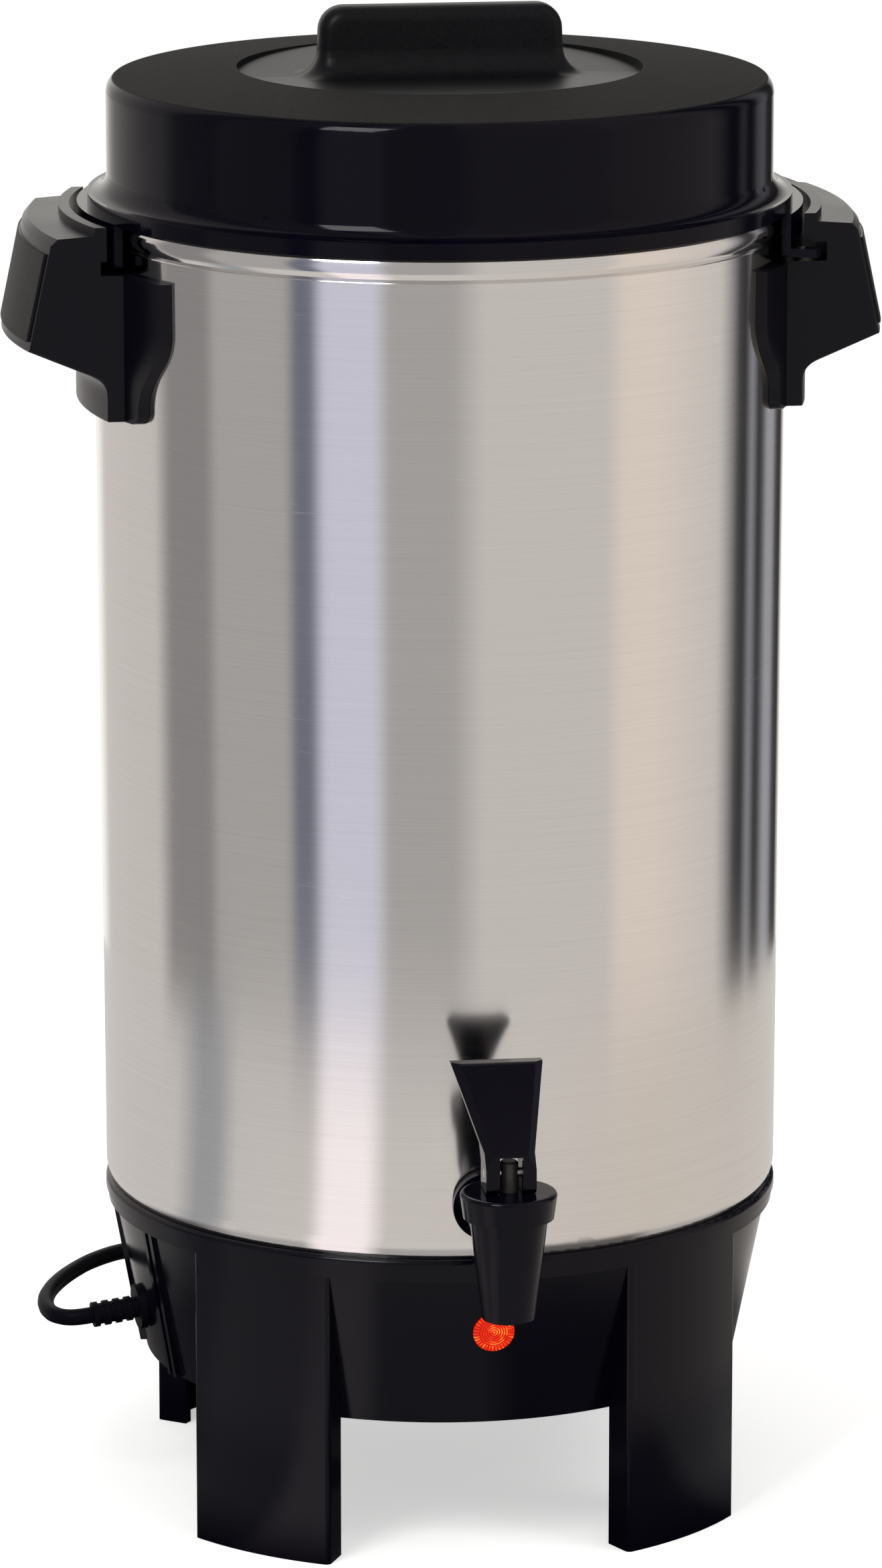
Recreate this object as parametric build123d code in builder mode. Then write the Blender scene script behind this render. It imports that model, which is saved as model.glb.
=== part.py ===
"""A thirty cup percolating coffee urn, built as the pieces it comes apart into.

Millimetres, +Z up. The origin is on the floor on the tank's axis. The tap faces -Y and the
carrying handles are on +X and -X.
"""
from build123d import *
import os
from math import asin, atan, cos, degrees, pi, radians, sin, sqrt, tan

os.makedirs("parts", exist_ok=True)

# ------------------------------------------------------------------ driving dimensions
# Clearances
seat_gap = 0.3            # between a moving piece and what it rests on
running_gap = 0.05        # radial, pin or screw in its hole
touch_gap = 0.02          # radial, between rings pressed on one another

# Base moulding, from the floor up
skirt_clearance = 37.6    # floor to the lower edge of the skirt
skirt_height = 40.8
skirt_inset = 2.0         # the tank's wall in to the top of the skirt
skirt_taper = 8.2         # and from there in to its lower edge
skirt_wall = 2.6
lower_band_inset = 0.5    # from the tank's wall
lower_band_height = 3.0
upper_band_proud = 0.2    # of the tank's wall
upper_band_height = 3.0
band_round = 1.2
ledge_width = 13.0        # inner ledge that carries the tank
ledge_wall = 3.6
leg_inset = 1.1           # from the tank's wall
leg_wall = 3.0
leg_depth = 9.0           # radial depth of the leg's channel
leg_angle = 40.5          # from the tap's plane to the middle of a leg
leg_half_angle = 14.0
leg_corner_round = 1.4
boss_r = 4.0
boss_inset = 20.4         # the tank's wall to the middle of a boss
outlet_rib_turns = (-69.0, -95.0)
outlet_rib_size = 1.6

# Tank
tank_wall = 1.2
tank_top_r = 90.5
tank_taper = 1.1          # narrower below
tank_corner_r = 10.0
tank_seat_depth = 4.8     # the tank's bottom lies this far below the top of the base
tank_height = 265.9
rim_bead_height = 5.2
rim_bead_proud = 0.7
rim_groove = 0.5
well_r = 24.0
well_depth = 5.0
stud_r = 2.0
stud_inset = 17.9         # the tank's wall to the middle of a stud
stud_length = 11.0
nut_height = 3.2
nut_across_flats = 7.0

# Heater and controls under the tank
spreader_gap = 1.5        # between the spreader and the tank's well
spreader_outer_r = 39.0
spreader_height = 2.0
element_r = 3.2
element_opening = 40.0    # degrees between the ends of the ring
terminal_sleeve_r = 2.6
element_terminal_length = 14.0
terminal_pin_r = 1.1
terminal_pin_length = 7.0
clamp_width = 14.0
clamp_thickness = 1.6
centre_stud_r = 2.5
clamp_nut_height = 4.0
clamp_nut_across_flats = 8.0
thermostat_r = 8.5
thermostat_gap = 6.9      # to the ledge of the base
thermostat_step = 1.0     # the body is narrower than the cap
thermostat_cap_height = 2.8
thermostat_lug_height = 0.8
cutoff_r = 2.2
cutoff_length = 14.0
cutoff_place = 24.0
plate_thickness = 1.2
plate_rise = 4.6          # bottom plate above the lower edge of the skirt
plate_edge_gap = 0.8
plate_screw_r = 1.5
plate_screw_head_r = 3.0
plate_screw_head_height = 1.8
plate_screw_length = 12.0
vent_count = 12
vent_circle_r = 34.0
vent_length = 14.0
vent_width = 3.0

# Indicator light in the skirt
lens_turn = 2.0           # degrees round from the tap's plane
lens_height = 63.6
lens_r = 5.4
lens_proud = 1.0
lens_barrel_r = 4.4
lens_barrel_length = 6.0
lens_wall = 1.2
lamp_length = 9.0

# Lid
drum_inset = 3.5          # the tank's rim in to the drum
lid_height = 33.7         # rim of the tank to the edge of the lid's top
lid_bevel_drop = 3.4
lid_bevel_run = 1.9
lid_dome = 2.6
lid_wall = 2.4
flange_proud = 1.6        # beyond the tank's rim
flange_height = 4.0
flare_height = 4.6
flare_step = 1.2
flare_arc_r = 5.0
bevel_arc_r = 4.5
recess_r = 53.0
recess_depth = 2.2
bar_length = 64.6
bar_height = 16.2         # above the dome
bar_thickness = 12.0
bar_flare = 7.0
bar_edge_round = 4.0
bar_corner_r = 6.5
bar_draft_angle = 2.0
bar_wall = 4.8            # at the ends of the hollow under the bar
liner_wall = 0.8
liner_side_gap = 0.8
liner_depth = 5.9         # from the tank's rim down to the liner's underside
liner_stud_r = 2.0
liner_stud_head_r = 5.0
liner_stud_head_height = 1.5
liner_stud_length = 15.0   # inside the lid's boss
liner_corner_r = 2.5
lid_boss_r = 5.5

# Bayonet: a tab on each side of the lid stands in a handle's groove. Its foot lifts off
# just outside the end of the handle, and turns into a slot there to lock.
tab_gap = 1.9             # the tank's rim to the tab
tab_thickness = 2.4
tab_drop = 9.8            # below the lid's lower edge
tab_bridge = 1.4          # thickness of the tab's root on the flange
tab_tail_angle = 21.0     # from the handle's middle to the end without a foot
foot_reach = 6.9
foot_thickness = 2.2
foot_angle = 2.6          # width of the foot, in degrees of turn
foot_gap = 0.8            # round the foot inside its slot
lock_turn_angle = 9.0     # from open to locked
groove_gap = 2.0          # outside the tab
groove_clearance = 2.0    # below the tab
groove_undercut = 1.5
undercut_height = 3.7

# Handles
handle_width = 69.0
handle_foot_drop = 49.5   # rim of the tank to the bottom of the handle's foot
handle_back = 29.0        # the tank's axis back to the axis that a handle is curved round
grip_reach = 18.5         # the tank's wall out to the grip's upper edge
grip_lean = 5.7           # and from there out to its lower edge
handle_top_drop = 1.8      # rim of the tank to the outer edge of the handle's top
grip_top_drop = 3.5       # the same to the upper edge of the grip's face
grip_low_drop = 30.9      # and to its lower edge
grip_top_round = 1.5
ledge_rise = 0.6          # the top's slope, up towards the collar
under_slope_rise = 6.6    # the underside's slope, up towards the grip
foot_round_drop = 5.7     # height of the curve from the foot into the underside
foot_round_reach = 4.1    # and its width
handle_foot_proud = 4.8   # of the tank's wall
pad_thickness = 2.4
pad_half_width = 50.0
pad_foot_half_width = 41.0
pad_wing_height = 13.0
pad_corner_r = 3.0
collar_wall = 2.8
collar_rise = 1.0         # above the tank's rim
grip_face_proud = 0.7
grip_face_margin = 2.4
pocket_wall = 3.0
pocket_roof = 3.5
pocket_inset = 2.5        # from the foot's face out to the pocket
pocket_round = 1.5
handle_edge_round = 0.8
handle_screw_r = 2.0
handle_screw_head_r = 4.0
handle_screw_head_height = 2.2
handle_screw_reach = 3.5  # into the handle
handle_screw_drops = (19.5, 43.0)

# Tap
tap_wall_gap = 0.5        # tap's nut above the rounded corner of the tank
tap_reach = 43.5          # tank wall to the barrel's axis
shank_r = 6.4
shank_bore_r = 3.6
shank_inside = 12.5
tap_flange_r = 8.8
tap_flange_thickness = 2.2
tap_washer_thickness = 1.8
tap_washer_r = 8.4
tap_nut_across_flats = 17.0
tap_nut_height = 6.0
barrel_low_r = 6.7
barrel_top_r = 10.0
barrel_drop = 17.9        # spout's lip below the shank's axis
barrel_rise = 8.8         # barrel's shoulder above the shank's axis
neck_r = 9.6
neck_height = 4.7
chamber_r = 6.4
seat_drop = 4.0           # valve seat below the shank's axis
seat_bore_r = 3.6
seat_height = 3.0
outlet_bore_r = 4.6
bonnet_r = 12.3
bonnet_taper = 0.8        # narrower below
bonnet_top = 2.1
bonnet_round = 1.0
cup_r = 5.4
cup_height = 4.0
cup_wall = 1.6
stem_r = 2.4
stem_flange_height = 1.2
stem_over_pin = 3.1
spring_r = 4.1
spring_wire_r = 0.5
spring_turns = 4.0

# Lever of the tap
pin_rise = 4.8            # lever pin above the bonnet
pin_r = 1.2
heel_half_depth = 5.0
heel_chamfer = 1.2
heel_rise = 5.5           # pin to the foot of the paddle, in front
yoke_back_drop = 3.5      # and how much lower it begins behind
slot_rise = 5.0           # pin to the top of the slot between the prongs
yoke_half_width = 6.4
yoke_gap = 0.5            # between the stem and each prong
paddle_half_width = 11.7
paddle_round = 2.0
paddle_bevel = 1.6        # depth of the bevels beside its face
lever_rise = 23.3         # pin to the paddle's top edge
lever_back = 26.0         # pin to the paddle's rear edge
paddle_top_thickness = 6.5
paddle_back_drop = 0.8
lever_travel = 55.0       # degrees from closed to full flow
valve_lift = 3.2          # millimetres at full flow

# Percolator
tube_r = 5.5
tube_wall = 1.0
tube_top_drop = 10.0      # tube's top below the tank's rim
bell_r = 20.0
bell_wall = 1.0
bell_height = 16.0
bell_notch_r = 2.5
basket_r = 62.0
basket_wall = 0.8
basket_height = 78.0
basket_drop = 102.0       # basket's floor below the tank's rim
basket_rim_r = 1.2
sleeve_gap = 0.5
stop_r = 8.5
stop_height = 3.0
sleeve_short = 0.5        # the basket's sleeve stops this far below its cover
basket_hole_r = 1.5
basket_hole_rings = (22.0, 42.0)
basket_hole_counts = (12, 18)
cover_drop = 4.0
cover_side_gap = 1.0
cover_wall = 0.8
cover_hole_r = 1.5

# Cord, put away on the floor behind the urn
cord_r = 2.2
relief_length = 14.0
relief_flange_height = 2.0
relief_rib_count = 4
relief_lip = 1.2
relief_barrel_length = 5.0
relief_r = 3.3
relief_flange_r = 6.0
relief_barrel_r = 4.2
outlet_turn = -82.0       # degrees round from the tap's plane
outlet_height = 52.0
outlet_tilt = 6.0         # degrees below level
first_run = 3.2
corner_share = 0.45       # of the shorter run at a corner, taken up by its arc
coil_r = 24.0
coil_gap = 37.6           # the tank's wall to the coil's middle
plug_length = 27.0
plug_width = 20.0
plug_height = 13.0
plug_neck = 6.0
plug_corner_r = 2.5
blade_length = 16.0
blade_thickness = 1.5
blade_width = 6.4
blade_spacing = 12.7
blade_hole_r = 1.5

# ------------------------------------------------------------------ places that follow
tank_low_r = tank_top_r - tank_taper
skirt_top_r = tank_low_r - skirt_inset
skirt_low_r = skirt_top_r - skirt_taper
lower_band_r = tank_low_r - lower_band_inset
upper_band_r = tank_low_r + upper_band_proud
leg_r = tank_low_r - leg_inset
boss_circle_r = tank_low_r - boss_inset
stud_circle_r = tank_low_r - stud_inset
skirt_top = skirt_clearance + skirt_height
base_top = skirt_top + lower_band_height + upper_band_height
tank_bottom = base_top - tank_seat_depth
tank_floor = tank_bottom + tank_wall
rim_top = tank_bottom + tank_height
bead_low = rim_top - rim_bead_height
wall_low = tank_bottom + tank_corner_r
tap_height = wall_low + tap_nut_across_flats / sqrt(3) + tap_wall_gap
wall_high = bead_low - 2 * rim_groove
lid_low = rim_top + seat_gap
skirt_slope = (skirt_top_r - skirt_low_r) / skirt_height
skirt_lean = degrees(atan(skirt_slope))
well_low = tank_bottom - well_depth
well_floor = well_low + tank_wall
plate_low = skirt_clearance + plate_rise
quarter_turns = [0, 90, 180, 270]
side_turn = 90.0          # from the tap's plane to a handle
full_turn = 360.0
leg_turns = [leg_angle, 180 - leg_angle, 180 + leg_angle, -leg_angle]


def skirt_radius(height):
    """Outside of the skirt at a height above the floor."""
    return skirt_low_r + (height - skirt_clearance) * skirt_slope


def tank_radius(height):
    """Outside of the tank wall at a height above the floor."""
    share = (height - wall_low) / (wall_high - wall_low)
    return tank_low_r + (tank_top_r - tank_low_r) * share


def around(turn, radius, height, tilt=0.0):
    """A plane that faces outwards, turned round from the tap and tilted down."""
    out_x = sin(radians(turn))
    out_y = -cos(radians(turn))
    return Plane(
        origin=(radius * out_x, radius * out_y, height),
        x_dir=(-out_y, out_x, 0),
        z_dir=(out_x * cos(radians(tilt)), out_y * cos(radians(tilt)), -sin(radians(tilt))),
    )


def slice_at(turn):
    """A plane through the axis: across is outwards at a turn from the tap, up is +Z."""
    out_x = sin(radians(turn))
    out_y = -cos(radians(turn))
    return Plane(origin=(0, 0, 0), x_dir=(out_x, out_y, 0), z_dir=(out_y, -out_x, 0))


def wedge(start, finish, reach):
    """Corners of a triangle from the axis outwards, between two turns from the tap."""
    return [
        (0, 0),
        (reach * sin(radians(start)), -reach * cos(radians(start))),
        (reach * sin(radians(finish)), -reach * cos(radians(finish))),
    ]


def ring_piece(outer, inner, start, finish):
    """Sketch a piece of a flat ring between two turns from the tap."""
    Circle(outer)
    Circle(inner, mode=Mode.SUBTRACT)
    Polygon(*wedge(start, finish, 2 * outer), align=None, mode=Mode.INTERSECT)


def tank_skin(gap, low, high):
    """Outline of the space that the tank takes up, with a gap round it."""
    return [
        (0, low),
        (tank_radius(low) + gap, low),
        (tank_radius(high) + gap, high),
        (0, high),
    ]


def save(name, piece):
    """Label a finished piece and write its STEP file."""
    piece.part.label = name
    export_step(piece.part, f"parts/{name}.step")


# ------------------------------------------------------------------ base moulding
corner_start = tank_low_r - tank_corner_r
lip_rise = tank_corner_r - tank_seat_depth
seat_corner_r = tank_corner_r + touch_gap
base_lip_r = corner_start + sqrt(seat_corner_r**2 - lip_rise**2)
ledge_r = corner_start - ledge_width
ledge_low = tank_bottom - ledge_wall
leg_inner_r = leg_r - leg_depth
side_wall_angle = degrees(leg_wall / leg_r)
boss_low = plate_low + plate_thickness

with BuildPart() as leg:
    # One leg facing -Y: an outer wall, two side walls and a middle rib, open to the inside
    with BuildSketch():
        ring_piece(leg_r, leg_inner_r, -leg_half_angle, leg_half_angle)
    extrude(amount=skirt_top)
    outer_corners = leg.edges().filter_by(Axis.Z).group_by(Axis.Y)[0]
    fillet(outer_corners, radius=leg_corner_round)
    for start in (side_wall_angle - leg_half_angle, side_wall_angle / 2):
        finish = start + leg_half_angle - 1.5 * side_wall_angle
        with BuildSketch():
            ring_piece(leg_r - leg_wall, leg_inner_r - leg_wall, start, finish)
        extrude(amount=skirt_top, mode=Mode.SUBTRACT)

with BuildPart() as base:
    with BuildSketch(Plane.XZ):
        with BuildLine():
            Polyline((ledge_r, ledge_low), (ledge_r, tank_bottom), (corner_start, tank_bottom))
            RadiusArc((corner_start, tank_bottom), (base_lip_r, base_top), -seat_corner_r)
            Line((base_lip_r, base_top), (upper_band_r - band_round, base_top))
            RadiusArc(
                (upper_band_r - band_round, base_top),
                (upper_band_r, base_top - band_round),
                band_round,
            )
            Polyline(
                (upper_band_r, base_top - band_round),
                (upper_band_r, skirt_top + lower_band_height),
                (lower_band_r, skirt_top + lower_band_height),
                (lower_band_r, skirt_top),
                (skirt_top_r, skirt_top),
                (skirt_low_r, skirt_clearance),
                (skirt_low_r - skirt_wall, skirt_clearance),
                (skirt_radius(ledge_low) - skirt_wall, ledge_low),
                (ledge_r, ledge_low),
            )
        make_face()
    revolve(axis=Axis.Z)
    for turn in leg_turns:
        add(leg.part, rotation=(0, 0, turn))
    # Bosses for the bottom plate's screws, and holes for the tank's studs
    with BuildSketch(Plane.XY.offset(boss_low)):
        with PolarLocations(boss_circle_r, len(quarter_turns), start_angle=45):
            Circle(boss_r)
    extrude(amount=ledge_low - boss_low)
    with BuildSketch(Plane.XY.offset(boss_low)):
        with PolarLocations(boss_circle_r, len(quarter_turns), start_angle=45):
            Circle(plate_screw_r + running_gap)
    extrude(amount=plate_screw_length, mode=Mode.SUBTRACT)
    with BuildSketch(Plane.XY.offset(ledge_low)):
        with PolarLocations(stud_circle_r, len(quarter_turns)):
            Circle(stud_r + running_gap)
    extrude(amount=ledge_wall, mode=Mode.SUBTRACT)
    # A pair of slim ribs up the skirt on each side of the cord's outlet
    for turn in outlet_rib_turns:
        for side in (-1, 1):
            with BuildSketch(slice_at(turn + side * degrees(outlet_rib_size / skirt_low_r))):
                with BuildLine():
                    Polyline(
                        (skirt_low_r - skirt_wall / 2, skirt_clearance),
                        (skirt_low_r + outlet_rib_size, skirt_clearance),
                        (skirt_top_r + outlet_rib_size / 2, skirt_top),
                        (skirt_top_r - skirt_wall / 2, skirt_top),
                        close=True,
                    )
                make_face()
            extrude(amount=outlet_rib_size / 2, both=True)
    # Holes in the skirt for the indicator lens and for the strain relief
    with BuildSketch(around(lens_turn, skirt_radius(lens_height), lens_height, skirt_lean)):
        Circle(lens_barrel_r + running_gap)
    extrude(amount=3 * skirt_wall, both=True, mode=Mode.SUBTRACT)
    with BuildSketch(around(outlet_turn, skirt_radius(outlet_height), outlet_height, outlet_tilt)):
        Circle(relief_barrel_r + running_gap)
    extrude(amount=3 * skirt_wall, both=True, mode=Mode.SUBTRACT)
    with BuildSketch(around(outlet_turn, skirt_radius(outlet_height), outlet_height, outlet_tilt)):
        Circle(relief_flange_r + running_gap)
    extrude(amount=relief_flange_height, mode=Mode.SUBTRACT)
save("base", base)

plate_r = skirt_radius(plate_low) - skirt_wall - plate_edge_gap
with BuildPart() as bottom_plate:
    with BuildSketch(Plane.XY.offset(plate_low)):
        Circle(plate_r)
        with PolarLocations(boss_circle_r, len(quarter_turns), start_angle=45):
            Circle(plate_screw_r + running_gap, mode=Mode.SUBTRACT)
        with PolarLocations(vent_circle_r, vent_count):
            SlotOverall(vent_length, vent_width, mode=Mode.SUBTRACT)
    extrude(amount=plate_thickness)
save("bottom_plate", bottom_plate)

with BuildPart() as bottom_screws:
    with BuildSketch(Plane.XY.offset(plate_low)):
        with PolarLocations(boss_circle_r, len(quarter_turns), start_angle=45):
            Circle(plate_screw_head_r)
    extrude(amount=-plate_screw_head_height)
    chamfer(bottom_screws.edges().group_by(Axis.Z)[0], length=plate_screw_head_height / 3)
    with BuildSketch(Plane.XY.offset(plate_low)):
        with PolarLocations(boss_circle_r, len(quarter_turns), start_angle=45):
            Circle(plate_screw_r)
    extrude(amount=plate_screw_length)
save("bottom_screws", bottom_screws)

# ------------------------------------------------------------------ tank
inner_corner_r = tank_corner_r - tank_wall
tap_wall_r = tank_radius(tap_height)
handle_screw_heights = [rim_top - drop for drop in handle_screw_drops]
clamp_top = tank_bottom - spreader_height - 2 * element_r
clamp_low = clamp_top - clamp_thickness

with BuildPart() as tank:
    with BuildSketch(Plane.XZ):
        with BuildLine():
            Polyline(
                (0, well_floor),
                (0, well_low),
                (well_r, well_low),
                (well_r, tank_bottom),
                (corner_start, tank_bottom),
            )
            RadiusArc(
                (corner_start, tank_bottom),
                (tank_low_r, wall_low),
                -tank_corner_r,
            )
            Polyline(
                (tank_low_r, wall_low),
                (tank_top_r, wall_high),
                (tank_top_r - rim_groove, bead_low - rim_groove),
                (tank_top_r, bead_low),
            )
            SagittaArc((tank_top_r, bead_low), (tank_top_r, rim_top), -rim_bead_proud)
            Polyline(
                (tank_top_r, rim_top),
                (tank_top_r - tank_wall, rim_top),
                (tank_low_r - tank_wall, wall_low),
            )
            RadiusArc(
                (tank_low_r - tank_wall, wall_low),
                (corner_start, tank_floor),
                inner_corner_r,
            )
            Polyline(
                (corner_start, tank_floor),
                (well_r - tank_wall, tank_floor),
                (well_r - tank_wall, well_floor),
                (0, well_floor),
            )
        make_face()
    revolve(axis=Axis.Z)
    # Studs welded to the tank's bottom, one in the middle for the heater's clamp
    with BuildSketch(Plane.XY.offset(tank_bottom)):
        with PolarLocations(stud_circle_r, len(quarter_turns)):
            Circle(stud_r)
    extrude(amount=-stud_length)
    with BuildSketch(Plane.XY.offset(well_low)):
        Circle(centre_stud_r)
    extrude(amount=clamp_low - clamp_nut_height - centre_stud_r - well_low)
    # Holes for the handles' screws and for the tap's shank
    with BuildSketch(Plane.YZ):
        with Locations(*[(0, height) for height in handle_screw_heights]):
            Circle(handle_screw_r + running_gap)
    extrude(amount=2 * tank_top_r, both=True, mode=Mode.SUBTRACT)
    with BuildSketch(Plane.XZ):
        with Locations((0, tap_height)):
            Circle(shank_r + running_gap)
    extrude(amount=2 * tank_low_r, mode=Mode.SUBTRACT)
save("tank", tank)

with BuildPart() as base_nuts:
    with BuildSketch(Plane.XY.offset(ledge_low)):
        with PolarLocations(stud_circle_r, len(quarter_turns)):
            RegularPolygon(nut_across_flats / 2, 6, major_radius=False)
            Circle(stud_r + running_gap, mode=Mode.SUBTRACT)
    extrude(amount=-nut_height)
save("base_nuts", base_nuts)

# ------------------------------------------------------------------ heater under the tank
with BuildPart() as heat_spreader:
    with BuildSketch(Plane.XY.offset(tank_bottom)):
        Circle(spreader_outer_r)
        Circle(well_r + spreader_gap, mode=Mode.SUBTRACT)
    extrude(amount=-spreader_height)
save("heat_spreader", heat_spreader)

element_ring_r = (spreader_outer_r + well_r + spreader_gap) / 2
thermostat_place = ledge_r - thermostat_gap - thermostat_r
element_height = tank_bottom - spreader_height - element_r
with BuildPart() as heating_element:
    # An open ring of tube, its two ends bent down to the terminals
    with Locations((0, 0, element_height)):
        Torus(element_ring_r, element_r, major_angle=full_turn - element_opening)
    for end in (0, full_turn - element_opening):
        place = (
            element_ring_r * cos(radians(end)),
            element_ring_r * sin(radians(end)),
            element_height + element_r / 2,
        )
        with Locations(place):
            Cylinder(
                terminal_sleeve_r,
                element_terminal_length,
                align=(Align.CENTER, Align.CENTER, Align.MAX),
            )
            Cylinder(
                terminal_pin_r,
                element_terminal_length + terminal_pin_length,
                align=(Align.CENTER, Align.CENTER, Align.MAX),
            )
save("heating_element", heating_element)

clamp_back = thermostat_place + thermostat_r
clamp_front = spreader_outer_r
with BuildPart() as heater_clamp:
    with BuildSketch(Plane.XY.offset(clamp_low)):
        with Locations((0, (clamp_back - clamp_front) / 2)):
            RectangleRounded(clamp_width, clamp_back + clamp_front, clamp_width / 4)
        Circle(centre_stud_r + running_gap, mode=Mode.SUBTRACT)
    extrude(amount=clamp_thickness)
save("heater_clamp", heater_clamp)

with BuildPart() as clamp_nut:
    with BuildSketch(Plane.XY.offset(clamp_low)):
        RegularPolygon(clamp_nut_across_flats / 2, 6, major_radius=False)
        Circle(centre_stud_r + running_gap, mode=Mode.SUBTRACT)
    extrude(amount=-clamp_nut_height)
save("clamp_nut", clamp_nut)

with BuildPart() as thermostat:
    # A disc thermostat held against the tank by the end of the clamp
    with BuildSketch(Plane.XY.offset(tank_bottom)):
        with Locations((0, thermostat_place)):
            Circle(thermostat_r)
    extrude(amount=-thermostat_cap_height)
    with BuildSketch(Plane.XY.offset(clamp_top)):
        with Locations((0, thermostat_place)):
            Circle(thermostat_r - thermostat_step)
    extrude(amount=tank_bottom - clamp_top)
    with BuildSketch(Plane.XY.offset((clamp_top + tank_bottom) / 2)):
        with Locations((-thermostat_r, thermostat_place), (thermostat_r, thermostat_place)):
            Rectangle(thermostat_r, thermostat_r / 2)
    extrude(amount=-thermostat_lug_height)
save("thermostat", thermostat)

with BuildPart() as thermal_cutoff:
    # The cut-out fuse lies under the clamp in its own clip
    with BuildSketch(Plane.XZ.offset(cutoff_place - cutoff_length / 2)):
        with Locations((0, clamp_low - cutoff_r)):
            Circle(cutoff_r)
            Rectangle(cutoff_r, cutoff_r, align=(Align.CENTER, Align.MIN))
    extrude(amount=cutoff_length)
save("thermal_cutoff", thermal_cutoff)

# ------------------------------------------------------------------ indicator light
lens_plane = around(lens_turn, skirt_radius(lens_height), lens_height, skirt_lean)
retainer_r = lens_r + lens_wall
retainer_sag = retainer_r**2 / (2 * (skirt_low_r - skirt_wall))
retainer_place = skirt_wall + retainer_sag
with BuildPart() as indicator_lens:
    with BuildSketch(lens_plane):
        Circle(lens_r)
    extrude(amount=lens_proud)
    fillet(indicator_lens.edges().sort_by(Axis.Y)[0], radius=lens_proud / 2)
    with BuildSketch(lens_plane):
        Circle(lens_barrel_r)
    extrude(amount=-lens_barrel_length)
    with BuildSketch(lens_plane.offset(-lens_barrel_length)):
        Circle(lens_barrel_r - lens_wall)
    extrude(amount=lens_barrel_length, mode=Mode.SUBTRACT)
save("indicator_lens", indicator_lens)

with BuildPart() as lens_retainer:
    with BuildSketch(lens_plane.offset(-retainer_place)):
        Circle(retainer_r)
        Circle(lens_barrel_r + touch_gap, mode=Mode.SUBTRACT)
    extrude(amount=-lens_wall)
save("lens_retainer", lens_retainer)

with BuildPart() as indicator_lamp:
    # A neon lamp pushed into the lens's barrel
    with BuildSketch(lens_plane.offset(-lens_barrel_length - lamp_length / 3)):
        Circle(lens_barrel_r - lens_wall - touch_gap)
    extrude(amount=lamp_length)
save("indicator_lamp", indicator_lamp)

# ------------------------------------------------------------------ lid
drum_r = tank_top_r - drum_inset
flange_r = tank_top_r + flange_proud
lid_edge = rim_top + lid_height
dome_top = lid_edge + lid_dome
valley_floor = dome_top - recess_depth
lid_ceiling = valley_floor - lid_wall
bar_top = dome_top + bar_height
flange_top = lid_low + flange_height
dome_edge_r = drum_r - lid_bevel_run
dome_r = (dome_edge_r**2 - recess_r**2) / (2 * lid_dome)
liner_low = rim_top - liner_depth
liner_floor = liner_low + liner_wall
lid_boss_low = liner_floor + seat_gap
tab_inner_r = tank_top_r + tab_gap
tab_low = lid_low - tab_drop
tab_top = lid_low + tab_bridge
tab_outer_r = tab_inner_r + tab_thickness
foot_r = tab_outer_r + foot_reach
foot_top = tab_low + foot_thickness
foot_open_angle = degrees(asin((handle_width / 2 + seat_gap) / tab_inner_r))

with BuildPart() as recess:
    # What is cut from the lid's top: a disc whose floor falls to a seam along X
    with BuildSketch(Plane.YZ):
        with BuildLine():
            Polyline(
                (-recess_r, dome_top),
                (0, valley_floor),
                (recess_r, dome_top),
                (recess_r, bar_top),
                (-recess_r, bar_top),
                close=True,
            )
        make_face()
    extrude(amount=recess_r, both=True)
    with BuildSketch(Plane.XY.offset(valley_floor)):
        Circle(recess_r)
    extrude(amount=bar_top - valley_floor, mode=Mode.INTERSECT)

with BuildPart() as bar:
    # The bar to lift the lid by, drawn in towards its top
    with BuildSketch(Plane.XY.offset(valley_floor - lid_wall / 2)):
        Rectangle(bar_length, bar_thickness)
    extrude(amount=bar_top - valley_floor + lid_wall / 2, taper=bar_draft_angle)
    fillet(bar.edges().group_by(Axis.Z)[-1].filter_by(Axis.Y), radius=bar_corner_r)
    long_edges = [
        edge
        for edge in bar.edges()
        if edge.center().Z > valley_floor and abs(edge.center().Y) > bar_thickness / 4
    ]
    fillet(long_edges, radius=bar_edge_round)

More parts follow.
